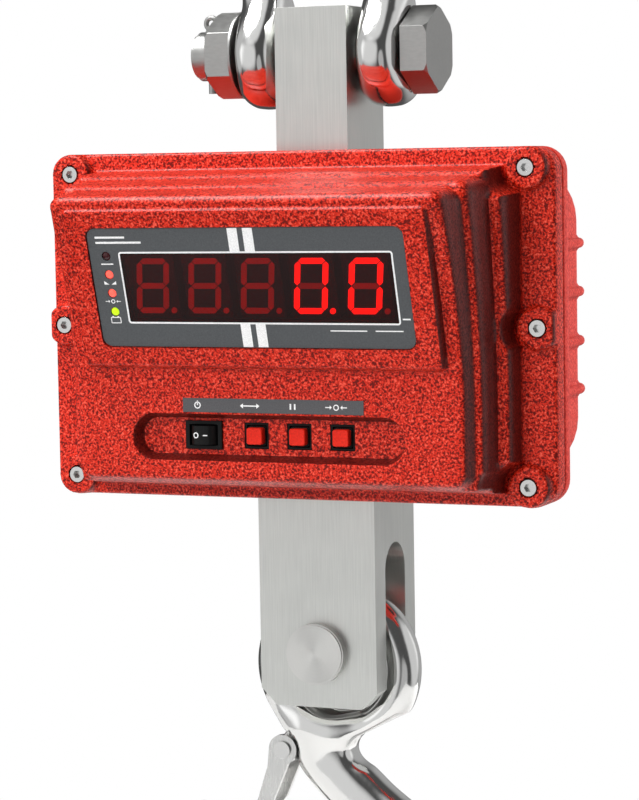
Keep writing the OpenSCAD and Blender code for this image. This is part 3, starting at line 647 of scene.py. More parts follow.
def grid_lines(low, high, coarse, fine, zones, exact):
    """Sorted grid positions: fine steps inside the zones, coarse ones elsewhere, plus exact positions."""
    lines = [low]
    while lines[-1] < high:
        here = lines[-1]
        step = fine if any(a <= here < b for a, b in zones) else coarse
        ahead = [a for a, _ in zones if here < a < here + step]
        lines.append(min([here + step, high, *ahead]))
    kept = [p for p in lines if all(abs(p - e) > fine * 0.4 for e in exact)]
    return np.array(sorted(kept + list(exact)))


def gradient(x, z, field, step=0.01):
    """The slope of a field in X and Z."""
    gx = (field(x + step, z) - field(x - step, z)) / (2 * step)
    gz = (field(x, z + step) - field(x, z - step)) / (2 * step)
    return gx, gz


def snap(x, z, field, reach):
    """Moves grid points that lie close to an outline onto it, just inside or just outside."""
    d = field(x, z)
    gx, gz = gradient(x, z, field)
    size = np.maximum(np.hypot(gx, gz), 1e-6)
    shift = np.where(np.abs(d) < reach, np.where(d > 0, SNAP, -SNAP) - d, 0) / size
    return x + shift * gx / size, z + shift * gz / size


def pull_in(x, z):
    """Moves grid points that lie outside the flange onto its outline."""
    for _ in range(3):
        d = np.minimum(inside_flange(x, z), 0)
        gx, gz = gradient(x, z, inside_flange)
        x, z = x - d * gx, z - d * gz
    return x, z


def front_cutouts():
    """Rectangles cut right through the front casting: window, rocker and keys, as x0, x1, z0, z1."""
    half_h = (WINDOW_H / 2 + 1) * math.cos(TILT)
    cuts = [(WINDOW_X - WINDOW_W / 2 - 2, WINDOW_X + WINDOW_W / 2 + 2, PANEL_Z - half_h, PANEL_Z + half_h)]
    cuts.append((ROCKER_X - 9.5, ROCKER_X + 9.5, KEY_Z - 6.5, KEY_Z + 6.5))
    half = KEY_FRAME_W / 2
    return cuts + [(x - half, x + half, KEY_Z - half, KEY_Z + half) for x in KEY_X]


def grid_axes(cuts):
    """Grid positions across and up the front casting, exact at the cut-outs and the panel's recess."""
    half_w = PANEL_W / 2 + PANEL_GAP
    half_h = (PANEL_H / 2 + PANEL_GAP) * math.cos(TILT)
    sides = [(s, n) for s in (-1, 1) for n in (-SNAP, SNAP)]
    exact_x = {round(v, 4) for c in cuts for v in c[:2]} | {s * (half_w + n) for s, n in sides}
    exact_z = {round(v, 4) for c in cuts for v in c[2:]} | {PANEL_Z + s * (half_h + n) for s, n in sides}
    zones_x = [(-FLANGE_X, -97), (-90, -82), (-78, -62), (62, 78), (82, 90), (97, FLANGE_X)]
    zones_z = [(-FLANGE_Z, -64), (-64, -41), (-22, -16), (-14, 14), (48, 56), (60, FLANGE_Z)]
    return (grid_lines(-FLANGE_X, FLANGE_X, 2.4, GRID_FINE, zones_x, exact_x),
            grid_lines(-FLANGE_Z, FLANGE_Z, 2.2, GRID_FINE, zones_z, exact_z))


def grid_quads(xs, zs, out, cuts):
    """The grid's quads, as corner numbers, less those outside the flange and those in the cut-outs."""
    count_z = len(zs)
    corner = np.arange(len(xs) - 1)[:, None] * count_z + np.arange(count_z - 1)[None, :]
    quads = np.stack([corner, corner + count_z, corner + count_z + 1, corner + 1], axis=-1)
    mid_x = ((xs[1:] + xs[:-1]) / 2)[:, None]
    mid_z = ((zs[1:] + zs[:-1]) / 2)[None, :]
    keep = ~out[quads].all(axis=-1)
    for x0, x1, z0, z1 in cuts:
        keep &= ~((mid_x > x0) & (mid_x < x1) & (mid_z > z0) & (mid_z < z1))
    return quads[keep]


def sheet_faces(quads, offset):
    """Faces of the outer sheet, of the inner sheet, whose points follow at offset, and of their rims."""
    edges = np.concatenate([quads[:, [k, (k + 1) % 4]] for k in range(4)])
    _, index, count = np.unique(np.sort(edges, axis=1), axis=0, return_index=True, return_counts=True)
    rim = edges[index[count == 1]]
    faces = [tuple(q) for q in quads.tolist()]
    faces += [tuple(i + offset for i in reversed(q)) for q in quads.tolist()]
    return faces + [(b, a, a + offset, b + offset) for a, b in rim.tolist()]


def used_points(points, faces):
    """The same shape without the points that no face uses."""
    used = np.unique(np.array([i for face in faces for i in face]))
    renumber = np.full(len(points), -1)
    renumber[used] = np.arange(len(used))
    return points[used], [tuple(renumber[i] for i in face) for face in faces]


def front_casting():
    """The front casting as a height field in X and Z with an inner surface and closed rims."""
    cuts = front_cutouts()
    xs, zs = grid_axes(cuts)
    x, z = (g.ravel() for g in np.meshgrid(xs, zs, indexing="ij"))
    quads = grid_quads(xs, zs, inside_flange(x, z) < -1e-6, cuts)
    x, z = snap(x, z, inside_panel, 0.3)
    x, z = snap(x, z, inside_screw_room, GRID_FINE * 0.55)
    x, z = pull_in(x, z)
    front = front_height(x, z)
    back = back_height(x, z, front)
    points = np.concatenate([np.column_stack([x, -front, z]), np.column_stack([x, -back, z])])
    shape = used_points(points, sheet_faces(quads, len(x)))
    add_piece("front_casting_shell", at_case(shape), "scale", [ENAMEL], ["front_casting"],
              sharp=42)


front_casting()


# ---------------------------------------------------------------- rear casting
REAR_HALF_W = 131.5
REAR_HALF_H = 84
REAR_CORNER = 30
REAR_ROUND = 18
BODY_Y = REAR_Y + 9
BACK_Y = 40
RIB_PROUD = 4
RIB_HEIGHTS = (41, 15, -11.5, -37.5)
DOOR_X = box_mm("battery_door")[2].x
DOOR_HALF_W = 50
DOOR_HALF_H = 64
SOCKET_MID = box_mm("charge_socket")[2]
COLUMN_HALF = (41.3 / 2, 53.4 / 2)
HOLLOW = (121.5, 79, 12)
SOCKET_BORE_R = 8
DOOR_OPENING = (38, 58, 2)
DOOR_R = 8
DOOR_RIM = 5


def rear_ring(half_w, half_h, r, y):
    """A ring of the rear shell: a rounded rectangle at depth y."""
    return ring_xz(rounded_outline(half_w, half_h, r), y)


def flange_ring(inset, y):
    """A ring of the rear flange, drawn in by inset."""
    return rear_ring(FLANGE_X - inset, FLANGE_Z - inset, FLANGE_R - inset, y)


def rear_body():
    """The rear shell: the hollow inside, the flange, and the body with a rounded back."""
    face_r, back_r, foot_r = 1.2, 1.8, 2.5
    rings = [rear_ring(*HOLLOW, y) for y in (BACK_Y - WALL, REAR_Y)]
    for turn in quarter_turn(3):
        rings.append(flange_ring(face_r * (1 - math.sin(turn)), REAR_Y + face_r * (1 - math.cos(turn))))
    for turn in quarter_turn(4):
        rings.append(flange_ring(back_r * (1 - math.cos(turn)), BODY_Y - back_r * (1 - math.sin(turn))))
    for turn in quarter_turn(4):
        grow = foot_r * (1 - math.sin(turn))
        y = BODY_Y + foot_r * (1 - math.cos(turn))
        rings.append(rear_ring(REAR_HALF_W + grow, REAR_HALF_H + grow, REAR_CORNER + grow, y))
    for turn in quarter_turn(10):
        inset = REAR_ROUND * (1 - math.cos(turn))
        y = BACK_Y - REAR_ROUND + REAR_ROUND * math.sin(turn)
        rings.append(rear_ring(REAR_HALF_W - inset, REAR_HALF_H - inset, REAR_CORNER - inset * 0.3, y))
    return loft(rings)


def rib_path(side, end_x):
    """Centre line of a rib over the side and back, as (x, y, normal x, normal y)."""
    centre_x, centre_y = REAR_HALF_W - REAR_ROUND, BACK_Y - REAR_ROUND
    path = [(REAR_HALF_W, BODY_Y - 2 + k * 6, 1, 0) for k in range(9)]
    for turn in quarter_turn(12):
        nx, ny = math.cos(turn), math.sin(turn)
        path.append((centre_x + REAR_ROUND * nx, centre_y + REAR_ROUND * ny, nx, ny))
    x = centre_x - 6
    while x > side * end_x:
        path.append((x, BACK_Y, 0, 1))
        x -= 12
    path = [p for p in path if p[0] > side * end_x]
    return [(side * x, y, side * nx, ny) for x, y, nx, ny in path]


def rib_section():
    """Half-round section of a rib with flared feet, as (proud, height) pairs."""
    section = [(-0.8, 5.2), (0.15, 4.3), (0.7, 3.3)]
    for k in range(9):
        turn = math.pi * k / 8
        section.append((RIB_PROUD - 2.6 + 2.5 * math.sin(turn), 2.7 * math.cos(turn)))
    return section + [(0.7, -3.3), (0.15, -4.3), (-0.8, -5.2)]


def rib(side, end_x, height):
    """One cast rib on the rear shell."""
    rings = []
    for x, y, nx, ny in rib_path(side, end_x):
        rings.append(np.array([(x + nx * out, y + ny * out, height + up) for out, up in rib_section()]))
    return loft(rings)


def rear_casting():
    """The rear casting: shell, ribs and door frame, with its openings cut."""
    rim_half = DOOR_HALF_W + DOOR_RIM
    rim = rounded_prism(rim_half, DOOR_HALF_H + DOOR_RIM, DOOR_R, BACK_Y - 3, BACK_Y + RIB_PROUD,
                        (DOOR_X, 0), edge=1.2)
    column_x, column_y = (c + 2 for c in COLUMN_HALF)
    beyond = FLANGE_Z + 9
    cuts = [at_case(cut) for cut in (
        box_part((-column_x, -column_y, -beyond), (column_x, column_y, beyond)),
        rod_part((SOCKET_MID.x, SOCKET_MID.y), SOCKET_BORE_R, -beyond, -FLANGE_Z + 40, axis=2),
        rounded_prism(*DOOR_OPENING, 20, 60, (DOOR_X, 0)),
        rounded_prism(DOOR_HALF_W + 0.3, DOOR_HALF_H + 0.3, DOOR_R, BACK_Y - 1, 60, (DOOR_X, 0)),
    )]
    ribs = join_parts([rib(side, DOOR_X + side * (rim_half - 1), height)
                       for side in (1, -1) for height in RIB_HEIGHTS])
    for name, shape, cut, sharp in (("rear_casting_shell", rear_body(), cuts, 35),
                                    ("battery_door_frame", rim, cuts[3:], 35),
                                    ("rear_casting_ribs", ribs, [], 60)):
        piece = add_piece(name, at_case(shape), "scale", [ENAMEL_REAR], ["rear_casting"],
                          sharp=sharp)
        if cut:
            carve(piece, cut)
            smooth_faces(piece)


# ---------------------------------------------------------------- shackle bow
BOW_HALF_W = 46.5
BOW_Z = -34.0
BOW_STOCK_R = 12.5
EAR_X = 35.25
EAR_HALF_T = 13.5
EAR_R = 30.0
EAR_ROUND = 11
FLARE_H = 42


def smoothstep(t):
    """Eases from 0 to 1 as t goes from 0 to 1."""
    t = min(max(t, 0.0), 1.0)
    return t * t * (3 - 2 * t)


def leg_x(z):
    """How far out a leg of the bow stands at height z, as it leans in from the bow to the ear."""
    lean = smoothstep((BOW_Z - z) / (BOW_Z - BOLT_Z - 20))
    return BOW_HALF_W + (EAR_X - BOW_HALF_W) * lean


def bow_stations():
    """Right half of the bow from crown to ear: x, z, half thickness, half depth, squareness."""
    crown_steps, leg_steps, flare_steps, ear_steps = 24, 14, 40, 32
    stations = []
    for k in range(crown_steps):
        turn = math.pi / 2 * (1 - k / crown_steps)
        x, z = BOW_HALF_W * math.cos(turn), BOW_Z + BOW_HALF_W * math.sin(turn)
        stations.append((x, z, BOW_STOCK_R, BOW_STOCK_R, 2.0))
    for k in range(leg_steps):
        z = BOW_Z + (BOLT_Z + FLARE_H - BOW_Z) * k / leg_steps
        stations.append((leg_x(z), z, BOW_STOCK_R, BOW_STOCK_R, 2.0))
    for k in range(flare_steps):
        dz = FLARE_H * (1 - k / flare_steps)
        spread = 0.5 + 0.5 * math.cos(math.pi * dz / FLARE_H)
        thick = BOW_STOCK_R + (EAR_HALF_T - BOW_STOCK_R) * spread
        depth = BOW_STOCK_R + (EAR_R - BOW_STOCK_R) * spread
        stations.append((leg_x(BOLT_Z + dz), BOLT_Z + dz, thick, depth, 2 + spread))
    for k in range(ear_steps + 1):
        turn = math.pi / 2 * k / ear_steps
        dz = EAR_R * math.sin(turn)
        past_rim = max(0.0, dz - (EAR_R - EAR_ROUND))
        thick = EAR_HALF_T - EAR_ROUND + math.sqrt(max(EAR_ROUND**2 - past_rim**2, 0))
        depth = max(EAR_R * math.cos(turn), 0.4)
        thick = max(thick * min(1, 0.25 + depth / 8), 0.3)
        stations.append((EAR_X, BOLT_Z - dz, thick, depth, 3.0 - 0.9 * k / ear_steps))
    return stations


def shackle_bow():
    """The forged bow as one sweep from ear to ear, with an oval to squarish section."""
    right = bow_stations()
    path = [(-x, z, a, b, p) for x, z, a, b, p in reversed(right[1:])] + right
    cos, sin = np.cos(full_turn(48)), np.sin(full_turn(48))
    rings = []
    for k, (x, z, a, b, power) in enumerate(path):
        x0, z0 = path[max(0, k - 1)][:2]
        x1, z1 = path[min(len(path) - 1, k + 1)][:2]
        length = math.hypot(x1 - x0, z1 - z0)
        tx, tz = (x1 - x0) / length, (z1 - z0) / length
        u = a * np.sign(cos) * np.abs(cos) ** (2 / power)
        v = b * np.sign(sin) * np.abs(sin) ** (2 / power)
        rings.append(np.column_stack([x + tz * u, v, z - tx * u]))
    add_piece("shackle_bow_forging", loft(rings), "shackle", [POLISHED], ["shackle_bow"],
              sharp=80)


# ---------------------------------------------------------------- hook
# Pieces of the hook are measured from the clevis pin's axis
EYE_Z = -11.7
EYE_MAJOR = 37.5
EYE_MINOR = 10.5
EYE_ROOM_R = 29
HOOK_PATH = [(-10, -47, 18), (-9, -62, 16), (16, -88, 17), (45, -118, 19.5), (43, -158, 20.7),
             (0, -185, 20.3), (-43, -166, 19), (-66, -131, 15.5), (-86, -99, 6)]
BOWL_HALF_T = 14
SECTION_POWER = 2.3
GROOVE_DEPTH = 1.5
NECK_BITE = ((17, -57), (38, -46), 8)
LATCH = (-30.0, -58.9)
LUG_ROOT_X = -16
LUG_RISE = 6
LUG_R = 7.3
LUG_HALF_T = 4.5
LATCH_ROOM_R = 9.3


def hook_spine():
    """Smooth centre line of the shank, bowl and tip: x, z and half width."""
    points = np.array([HOOK_PATH[0]] + HOOK_PATH + [HOOK_PATH[-1]], float)
    spine = []
    for i in range(len(HOOK_PATH) - 1):
        a, b, c, d = points[i:i + 4]
        square, cube = 2 * a - 5 * b + 4 * c - d, 3 * b - a - 3 * c + d
        for u in np.arange(10) / 10:
            spine.append(0.5 * (2 * b + (c - a) * u + square * u**2 + cube * u**3))
    return np.array(spine + [points[-1]])


def soft_min(a, b, k):
    """The smaller of a and b, blended where they are within k of each other."""
    h = np.clip(0.5 + 0.5 * (b - a) / k, 0, 1)
    return b + (a - b) * h - k * h * (1 - h)


def less(a, b, k):
    """The field of body a with body b cut away, blended over k."""
    return -soft_min(-a, b, k)


def from_bar(x, z, start, end, r):
    """Distance outside a round-ended bar of radius r from start to end, both (x, z)."""
    run, rise = end[0] - start[0], end[1] - start[1]
    t = np.clip(((x - start[0]) * run + (z - start[1]) * rise) / (run**2 + rise**2), 0, 1)
    return np.hypot(x - start[0] - t * run, z - start[1] - t * rise) - r


def forging_field(x, y, z, spine):
    """Field of the shank, bowl and tip: an oval section along the spine, with a groove in its sides."""
    flat = np.column_stack([x, z])
    starts, ends = spine[:-1], spine[1:]
    along = ends[:, :2] - starts[:, :2]
    to_point = flat[:, None, :] - starts[None, :, :2]
    t = np.clip((to_point * along).sum(-1) / (along**2).sum(-1), 0, 1)
    nearest = starts[None, :, :2] + t[..., None] * along
    offset = np.hypot(flat[:, None, 0] - nearest[..., 0], flat[:, None, 1] - nearest[..., 1])
    width = starts[None, :, 2] + t * (ends[:, 2] - starts[:, 2])
    pick = np.argmin(offset / width, axis=1)
    rows = np.arange(len(x))
    offset, width = offset[rows, pick], width[rows, pick]
    depth = BOWL_HALF_T * np.minimum(1, (width / 18)) ** 0.8
    cross = to_point[rows, pick, 0] * along[pick, 1] - to_point[rows, pick, 1] * along[pick, 0]
    side = np.sign(cross) * offset / width
    section = ((offset / width) ** SECTION_POWER + (y / depth) ** SECTION_POWER) ** (1 / SECTION_POWER)
    groove = np.exp(-((side + 0.45) / 0.2) ** 2)
    groove = groove * np.clip((-74 - z) / 30, 0, 1) * np.clip((width - 16) / 3, 0, 1)
    return (section - 1) * np.minimum(width, depth) + GROOVE_DEPTH * groove * np.clip(y / depth, 0, 1)


def hook_field(p, spine):
    """Signed distance-like field of the forged hook; zero on its surface."""
    x, y, z = p[:, 0], np.abs(p[:, 1]), p[:, 2]
    radial = np.hypot(x, z - EYE_Z)
    shank = less(forging_field(x, y, z, spine), radial - EYE_ROOM_R, 5)
    eye = np.hypot(radial - EYE_MAJOR, y) - EYE_MINOR
    body = less(soft_min(shank, eye, 11), from_bar(x, z, *NECK_BITE), 5)
    lug_t = np.clip((x - LATCH[0]) / (LUG_ROOT_X - LATCH[0]), 0, 1)
    lug = np.hypot(x - LATCH[0] - lug_t * (LUG_ROOT_X - LATCH[0]), z - LATCH[1] - lug_t * LUG_RISE) - LUG_R
    body = soft_min(body, less(lug, LUG_HALF_T - y, 1.5), 2.5)
    latch_room = np.maximum(np.hypot(x - LATCH[0], z - LATCH[1]) - LATCH_ROOM_R, LUG_HALF_T - y)
    return less(body, latch_room, 0.8)


def settle_on_field(points, field, rounds=7):
    """Moves points along the field's slope until they lie on its zero surface."""
    step = 0.05
    for _ in range(rounds):
        value = field(points)
        slope = np.column_stack([(field(points + d) - field(points - d)) / (2 * step)
                                 for d in np.eye(3) * step])
        size = np.maximum((slope**2).sum(1), 0.05)
        move = (value / size)[:, None] * slope
        limit = np.maximum(np.linalg.norm(move, axis=1, keepdims=True) / 1.5, 1)
        points = points - move / limit
    return points


def hook_points(mesh):
    """A mesh's points in millimetres from the clevis pin's axis."""
    co = np.empty(len(mesh.vertices) * 3, np.float32)
    mesh.vertices.foreach_get("co", co)
    return co.reshape(-1, 3).astype(float) / MM - (0, 0, PIN_Z)


def smooth_mesh(piece, rounds):
    """Evens out a piece's points."""
    piece.modifiers.new("even", "SMOOTH").iterations = rounds
    apply_modifiers(piece)


def hook():
    """The hook: the CAD solid remeshed evenly, then drawn onto a smoothly blended surface."""
    solid = NODES["hook"].data
    shape = ([v.co / MM for v in solid.vertices], [tuple(f.vertices) for f in solid.polygons])
    piece = add_piece("hook_forging", shape, "hook", [POLISHED], ["hook"], sharp=80)
    weld = piece.modifiers.new("weld", "WELD")
    weld.merge_threshold = 0.01 * MM
    remesh = piece.modifiers.new("remesh", "REMESH")
    remesh.mode = "VOXEL"
    remesh.voxel_size = 1.3 * MM
    smooth_mesh(piece, 6)
    spine = hook_spine()
    for _ in range(2):
        settled = settle_on_field(hook_points(piece.data), lambda p: hook_field(p, spine))
        co = ((settled + (0, 0, PIN_Z)) * MM).astype(np.float32)
        piece.data.vertices.foreach_set("co", co.ravel())
        piece.data.update()
        smooth_mesh(piece, 5)
    if not piece.data.materials:
        piece.data.materials.append(POLISHED)
    piece.data.shade_smooth()


# ---------------------------------------------------------------- display, marks and lamps
DIGIT_PITCH = 29.6
DIGIT_DEPTH = 4.8
DIGIT_W = 18.4
DIGIT_H = 30.0
SEGMENT_W = 3.1
SEGMENT_GAP = 0.35
DOT_R = 1.6
INK_H = 0.06
SLANT = math.tan(math.radians(9))
LED_X = -78.2
LED_R = 2.2
LED_HEIGHTS = [WINDOW_H / 2 - 1.5 - i * 10.2 for i in range(4)]
PANEL_SINK = 0.8


def bar_outline(a, b, width, gap):
    """A pointed segment from a to b, both (x, z)."""
    a, b = np.array(a, float), np.array(b, float)
    way = (b - a) / np.linalg.norm(b - a)
    across = np.array([-way[1], way[0]]) * width / 2
    tip = width / 2
    start, end = a + way * gap, b - way * gap
    return [start, start + way * tip + across, end - way * tip + across, end,
            end - way * tip - across, start + way * tip - across]


def flat_prism(outline, depth, thick, shift=(0, 0)):
    """A thin plate with the given outline, in the display's plane."""
    outline = np.array(outline, float)
    return loft([ring_xz(outline, y, shift) for y in (depth, depth + thick)])


def disc_outline(r, steps=20):
    """Outline of a disc as (x, z) pairs."""
    return [(r * math.cos(a), r * math.sin(a)) for a in full_turn(steps)]


def segment_ends(half_w, half_h):
    """The two ends of each segment's centre line, by the segment's name."""
    corners = {f"{level}_{side}": (sx * half_w, sz * half_h) for level, sz in (("upper", 1), ("lower", -1))
               for side, sx in (("left", -1), ("right", 1))}
    rows = (("top", half_h), ("middle", 0), ("bottom", -half_h))
    ends = {name: ((-half_w, z), (half_w, z)) for name, z in rows}
    for name, (x, z) in corners.items():
        ends[name] = ((x, min(z, 0)), (x, max(z, 0)))
    return ends


def digit(index, lit, dot_lit):
    """One seven-segment digit: lit and unlit bars on the face of its module."""
    half_w, half_h = (DIGIT_W - SEGMENT_W) / 2, (DIGIT_H - SEGMENT_W) / 2
    centre = WINDOW_X + (index - 2) * DIGIT_PITCH - 1.2
    outlines = [(bar_outline(a, b, SEGMENT_W, SEGMENT_GAP), name in lit)
                for name, (a, b) in segment_ends(half_w, half_h).items()]
    outlines.append(([(x + half_w + 4.6, z - half_h) for x, z in disc_outline(DOT_R)], dot_lit))
    parts, kinds = [], []
    for outline, is_lit in outlines:
        slanted = [(x + z * SLANT, z) for x, z in outline]
        parts.append(flat_prism(slanted, DIGIT_DEPTH - 0.25, 0.35, (centre, 0)))
        kinds += [int(is_lit)] * len(parts[-1][1])
    # the unlit bars carry a faint painted glow; only the lit bars stand for the display's real light
    add_piece(f"digit_{index + 1}_bars", on_panel(join_parts(parts)), "scale",
              [SEGMENT_OFF_PAINTED_GLOW, SEGMENT_ON], face_materials=kinds, sharp=20)


def panel_frame():
    """The thin white line round the window."""
    outer = rounded_outline(WINDOW_W / 2 + 0.9, WINDOW_H / 2 + 0.9, 1.6, 4)
    inner = rounded_outline(WINDOW_W / 2, WINDOW_H / 2, 0.8, 4)
    face = PANEL_SINK - 0.08
    rings = [ring_xz(outline, depth, (WINDOW_X, 0))
             for outline, depth in ((outer, PANEL_SINK), (outer, face), (inner, face), (inner, PANEL_SINK))]
    add_piece("window_line", on_panel(loft(rings, closed=True)), "scale", [WHITE_INK])


def printed(name, items, face, place):
    """Printed marks, given as (outline, shift), INK_H proud of a face and moved into the frame by place."""
    parts = [flat_prism(outline, face - INK_H, INK_H, shift) for outline, shift in items]
    add_piece(name, place(join_parts(parts)), "scale", [WHITE_INK], sharp=20)


def rectangle(w, h):
    """Outline of a rectangle of width w and height h."""
    return [(-w / 2, -h / 2), (w / 2, -h / 2), (w / 2, h / 2), (-w / 2, h / 2)]


def arrow(length, head, line, way=1):
    """An arrow pointing along X, forwards or backwards, as one outline."""
    tip, neck = length / 2, length / 2 - head
    outline = [(-tip, -line / 2), (neck, -line / 2), (neck, -head), (tip, 0), (neck, head), (neck, line / 2),
               (-tip, line / 2)]
    return [(way * x, z) for x, z in outline]


def ring_parts(r, line, shift, steps=12):
    """A printed ring, as short slabs."""
    parts = []
    for k in range(steps):
        a, b = (2 * math.pi * n / steps for n in (k, k + 1))
        corners = ((r, a), (r, b), (r - line, b), (r - line, a))
        parts.append(([(reach * math.cos(turn), reach * math.sin(turn)) for reach, turn in corners], shift))
    return parts


def panel_marks():
    """Plain generic marks: a blank name line, accent bars, lamp symbols and a blank rating line."""
    lamp_z = [height - 4.4 for height in LED_HEIGHTS]
    name_z = PANEL_H / 2 - 7.8
    rating_z = -WINDOW_H / 2 - 4.2
    accent_h = PANEL_H / 2 - WINDOW_H / 2 - 1.2
    accent_z = (WINDOW_H / 2 + PANEL_H / 2) / 2 + 0.3
    items = [(rectangle(26, 1.1), (-70, name_z)), (rectangle(17, 1.1), (-74.5, name_z + 2.8))]
    items += [(rectangle(5.5, accent_h), (x, s * accent_z)) for x in (-4.75, 3.75) for s in (-1, 1)]
    items.append((rectangle(7, 0.7), (LED_X, lamp_z[0] + 0.1)))
    for s in (-1, 1):
        items.append(([(s * 0.6, -0.9), (s * 3.4, -0.9), (s * 3.4, 1.0)], (LED_X, lamp_z[1])))
        items.append((arrow(2.6, 0.8, 0.35, -s), (LED_X + s * 3.1, lamp_z[2])))
        items.append((rectangle(5.4, 0.45), (LED_X, lamp_z[3] - 0.2 + s * 1.5)))
        items.append((rectangle(0.45, 3.0), (LED_X + s * 2.7, lamp_z[3] - 0.2)))
        items.append((rectangle(1.0, 0.6), (LED_X + s * 1.5, lamp_z[3] + 1.7)))
    items += ring_parts(1.2, 0.45, (LED_X, lamp_z[2]))
    items += [(rectangle(4.2, 0.8), (84, -WINDOW_H / 2 + 2.2)), (rectangle(20, 0.6), (52, rating_z)),
              (rectangle(15, 0.6), (74, rating_z))]
    printed("panel_marks", items, PANEL_SINK, on_panel)


def lamp_part(height):
    """A small domed lamp standing in its hole in the display panel."""
    rim = PANEL_SINK + 0.7
    profile = [(LED_R, 14.0), (LED_R, rim)]
    profile += [(LED_R * math.cos(a), rim - 0.9 * math.sin(a)) for a in np.linspace(0.15, 1.45, 6)]
    return loft([ring_xz(np.array(disc_outline(r, 24)), depth, (LED_X, height)) for r, depth in profile])


def status_lamps():
    """Four status lamps: one off, two red, one green."""
    parts = [lamp_part(height) for height in LED_HEIGHTS]
    kinds = [kind for part, kind in zip(parts, (0, 1, 1, 2)) for _ in part[1]]
    add_piece("status_lamps", on_panel(join_parts(parts)), "scale",
              [LED_OFF, LED_RED, LED_GREEN], ["status_leds"], kinds, sharp=50)


def key_label_marks():
    """Plain symbols on the strip above the keys: power, range, hold and zero."""
    label_low, _, label_mid = box_mm("key_label")
    row_z = label_mid.z - CASE_Z
    range_x, hold_x, zero_x = KEY_X
    half = [(5.5, 0), (3.8, -1.3), (3.8, -0.3)]
    double = [(-x, -z) for x, z in half] + [(x, -z) for x, z in reversed(half[1:])]
    double += half + [(-x, z) for x, z in reversed(half[1:])]
    items = ring_parts(1.9, 0.6, (ROCKER_X, row_z)) + [(rectangle(0.6, 2.4), (ROCKER_X, row_z + 1.2))]
    items.append((double, (range_x, row_z)))
    items += [(rectangle(0.9, 3.0), (hold_x + s * 1.2, row_z)) for s in (-1, 1)]
    items += [(arrow(3.6, 1.1, 0.5, -s), (zero_x + s * 4.2, row_z)) for s in (-1, 1)]
    items += ring_parts(1.6, 0.55, (zero_x, row_z))
    printed("key_label_marks", items, label_low.y, at_case)


def key_parts(x):
    """A key as a black skirt in the frame and a narrower red cap with a dished face."""
    skirt_half = (KEY_HIGH.x - KEY_LOW.x) / 2
    cap_half = skirt_half - 0.7

    def square(half, r, y):
        return ring_xz(rounded_outline(half, half, r, 5), y, (x, KEY_Z))

    skirt = loft([square(skirt_half, KEY_R, y) for y in (KEY_HIGH.y, FLOOR_Y + 0.8)])
    rings = [square(cap_half, KEY_R, FLOOR_Y + 1.2)]
    for turn in quarter_turn(4):
        inset = KEY_EDGE_R * (1 - math.cos(turn))
        rings.append(square(cap_half - inset, KEY_R, KEY_LOW.y + KEY_EDGE_R * (1 - math.sin(turn))))
    for share, dish in ((0.8, 0.06), (0.55, 0.16), (0.3, 0.22), (0.08, 0.24)):
        rings.append(square(cap_half * share, KEY_R * share, KEY_LOW.y + dish))
    return skirt, loft(rings)


def key_caps():
    """The three keys, each on its own joint."""
    for number, x in enumerate(KEY_X, 1):
        skirt, cap = key_parts(x)
        kinds = [0] * len(skirt[1]) + [1] * len(cap[1])
        add_piece(f"key_cap_{number}_moulding", at_case(join_parts([skirt, cap])), f"key_{number}",
                  [BLACK, KEY_RED], [f"key_cap_{number}"], kinds, sharp=50)


def rocker_marks():
    """The ring and bar of the on-off rocker, raised on its two faces."""
    low, _, mid = box_mm("rocker")
    slope = math.tan(math.radians(12))
    parts = []
    for centre, items in ((-2.9, ring_parts(1.6, 0.55, (0, 0))), (2.4, [(rectangle(2.4, 0.55), (0, 0))])):
        for outline, shift in items:
            outline = np.array(outline, float) + shift
            x = outline[:, 0] + centre
            depth = low.y + np.abs(x) * slope
            parts.append(loft([np.column_stack([x + mid.x, depth + d, outline[:, 1] + mid.z])
                               for d in (-0.08, 0.4)]))
    add_piece("rocker_marks", join_parts(parts), "rocker", [WHITE_INK], sharp=20)


rear_casting()
shackle_bow()
hook()
ZERO = ("top", "bottom", "upper_left", "upper_right", "lower_left", "lower_right")
for position, (bars, dot) in enumerate([((), False)] * 3 + [(ZERO, True), (ZERO, False)]):
    digit(position, bars, dot)
panel_frame()
panel_marks()
status_lamps()
key_label_marks()
key_caps()
rocker_marks()


# ---------------------------------------------------------------- CAD nodes that keep their own shape
def keep_node(node, material, bevel_mm, sharp=35):
    """Gives a CAD node its material, rounds its edges and smooths its curved faces."""
    piece = NODES[node]
    piece.data.materials.clear()
    piece.data.materials.append(material)
    if bevel_mm:
        weld = piece.modifiers.new("weld", "WELD")
        weld.merge_threshold = 0.002 * MM
        bevel = piece.modifiers.new("edges", "BEVEL")
        bevel.width = bevel_mm * MM
        bevel.segments = 3
        bevel.limit_method = "ANGLE"
        bevel.angle_limit = math.radians(sharp)
        piece.modifiers.new("face_normals", "WEIGHTED_NORMAL")
    smooth_faces(piece, sharp)


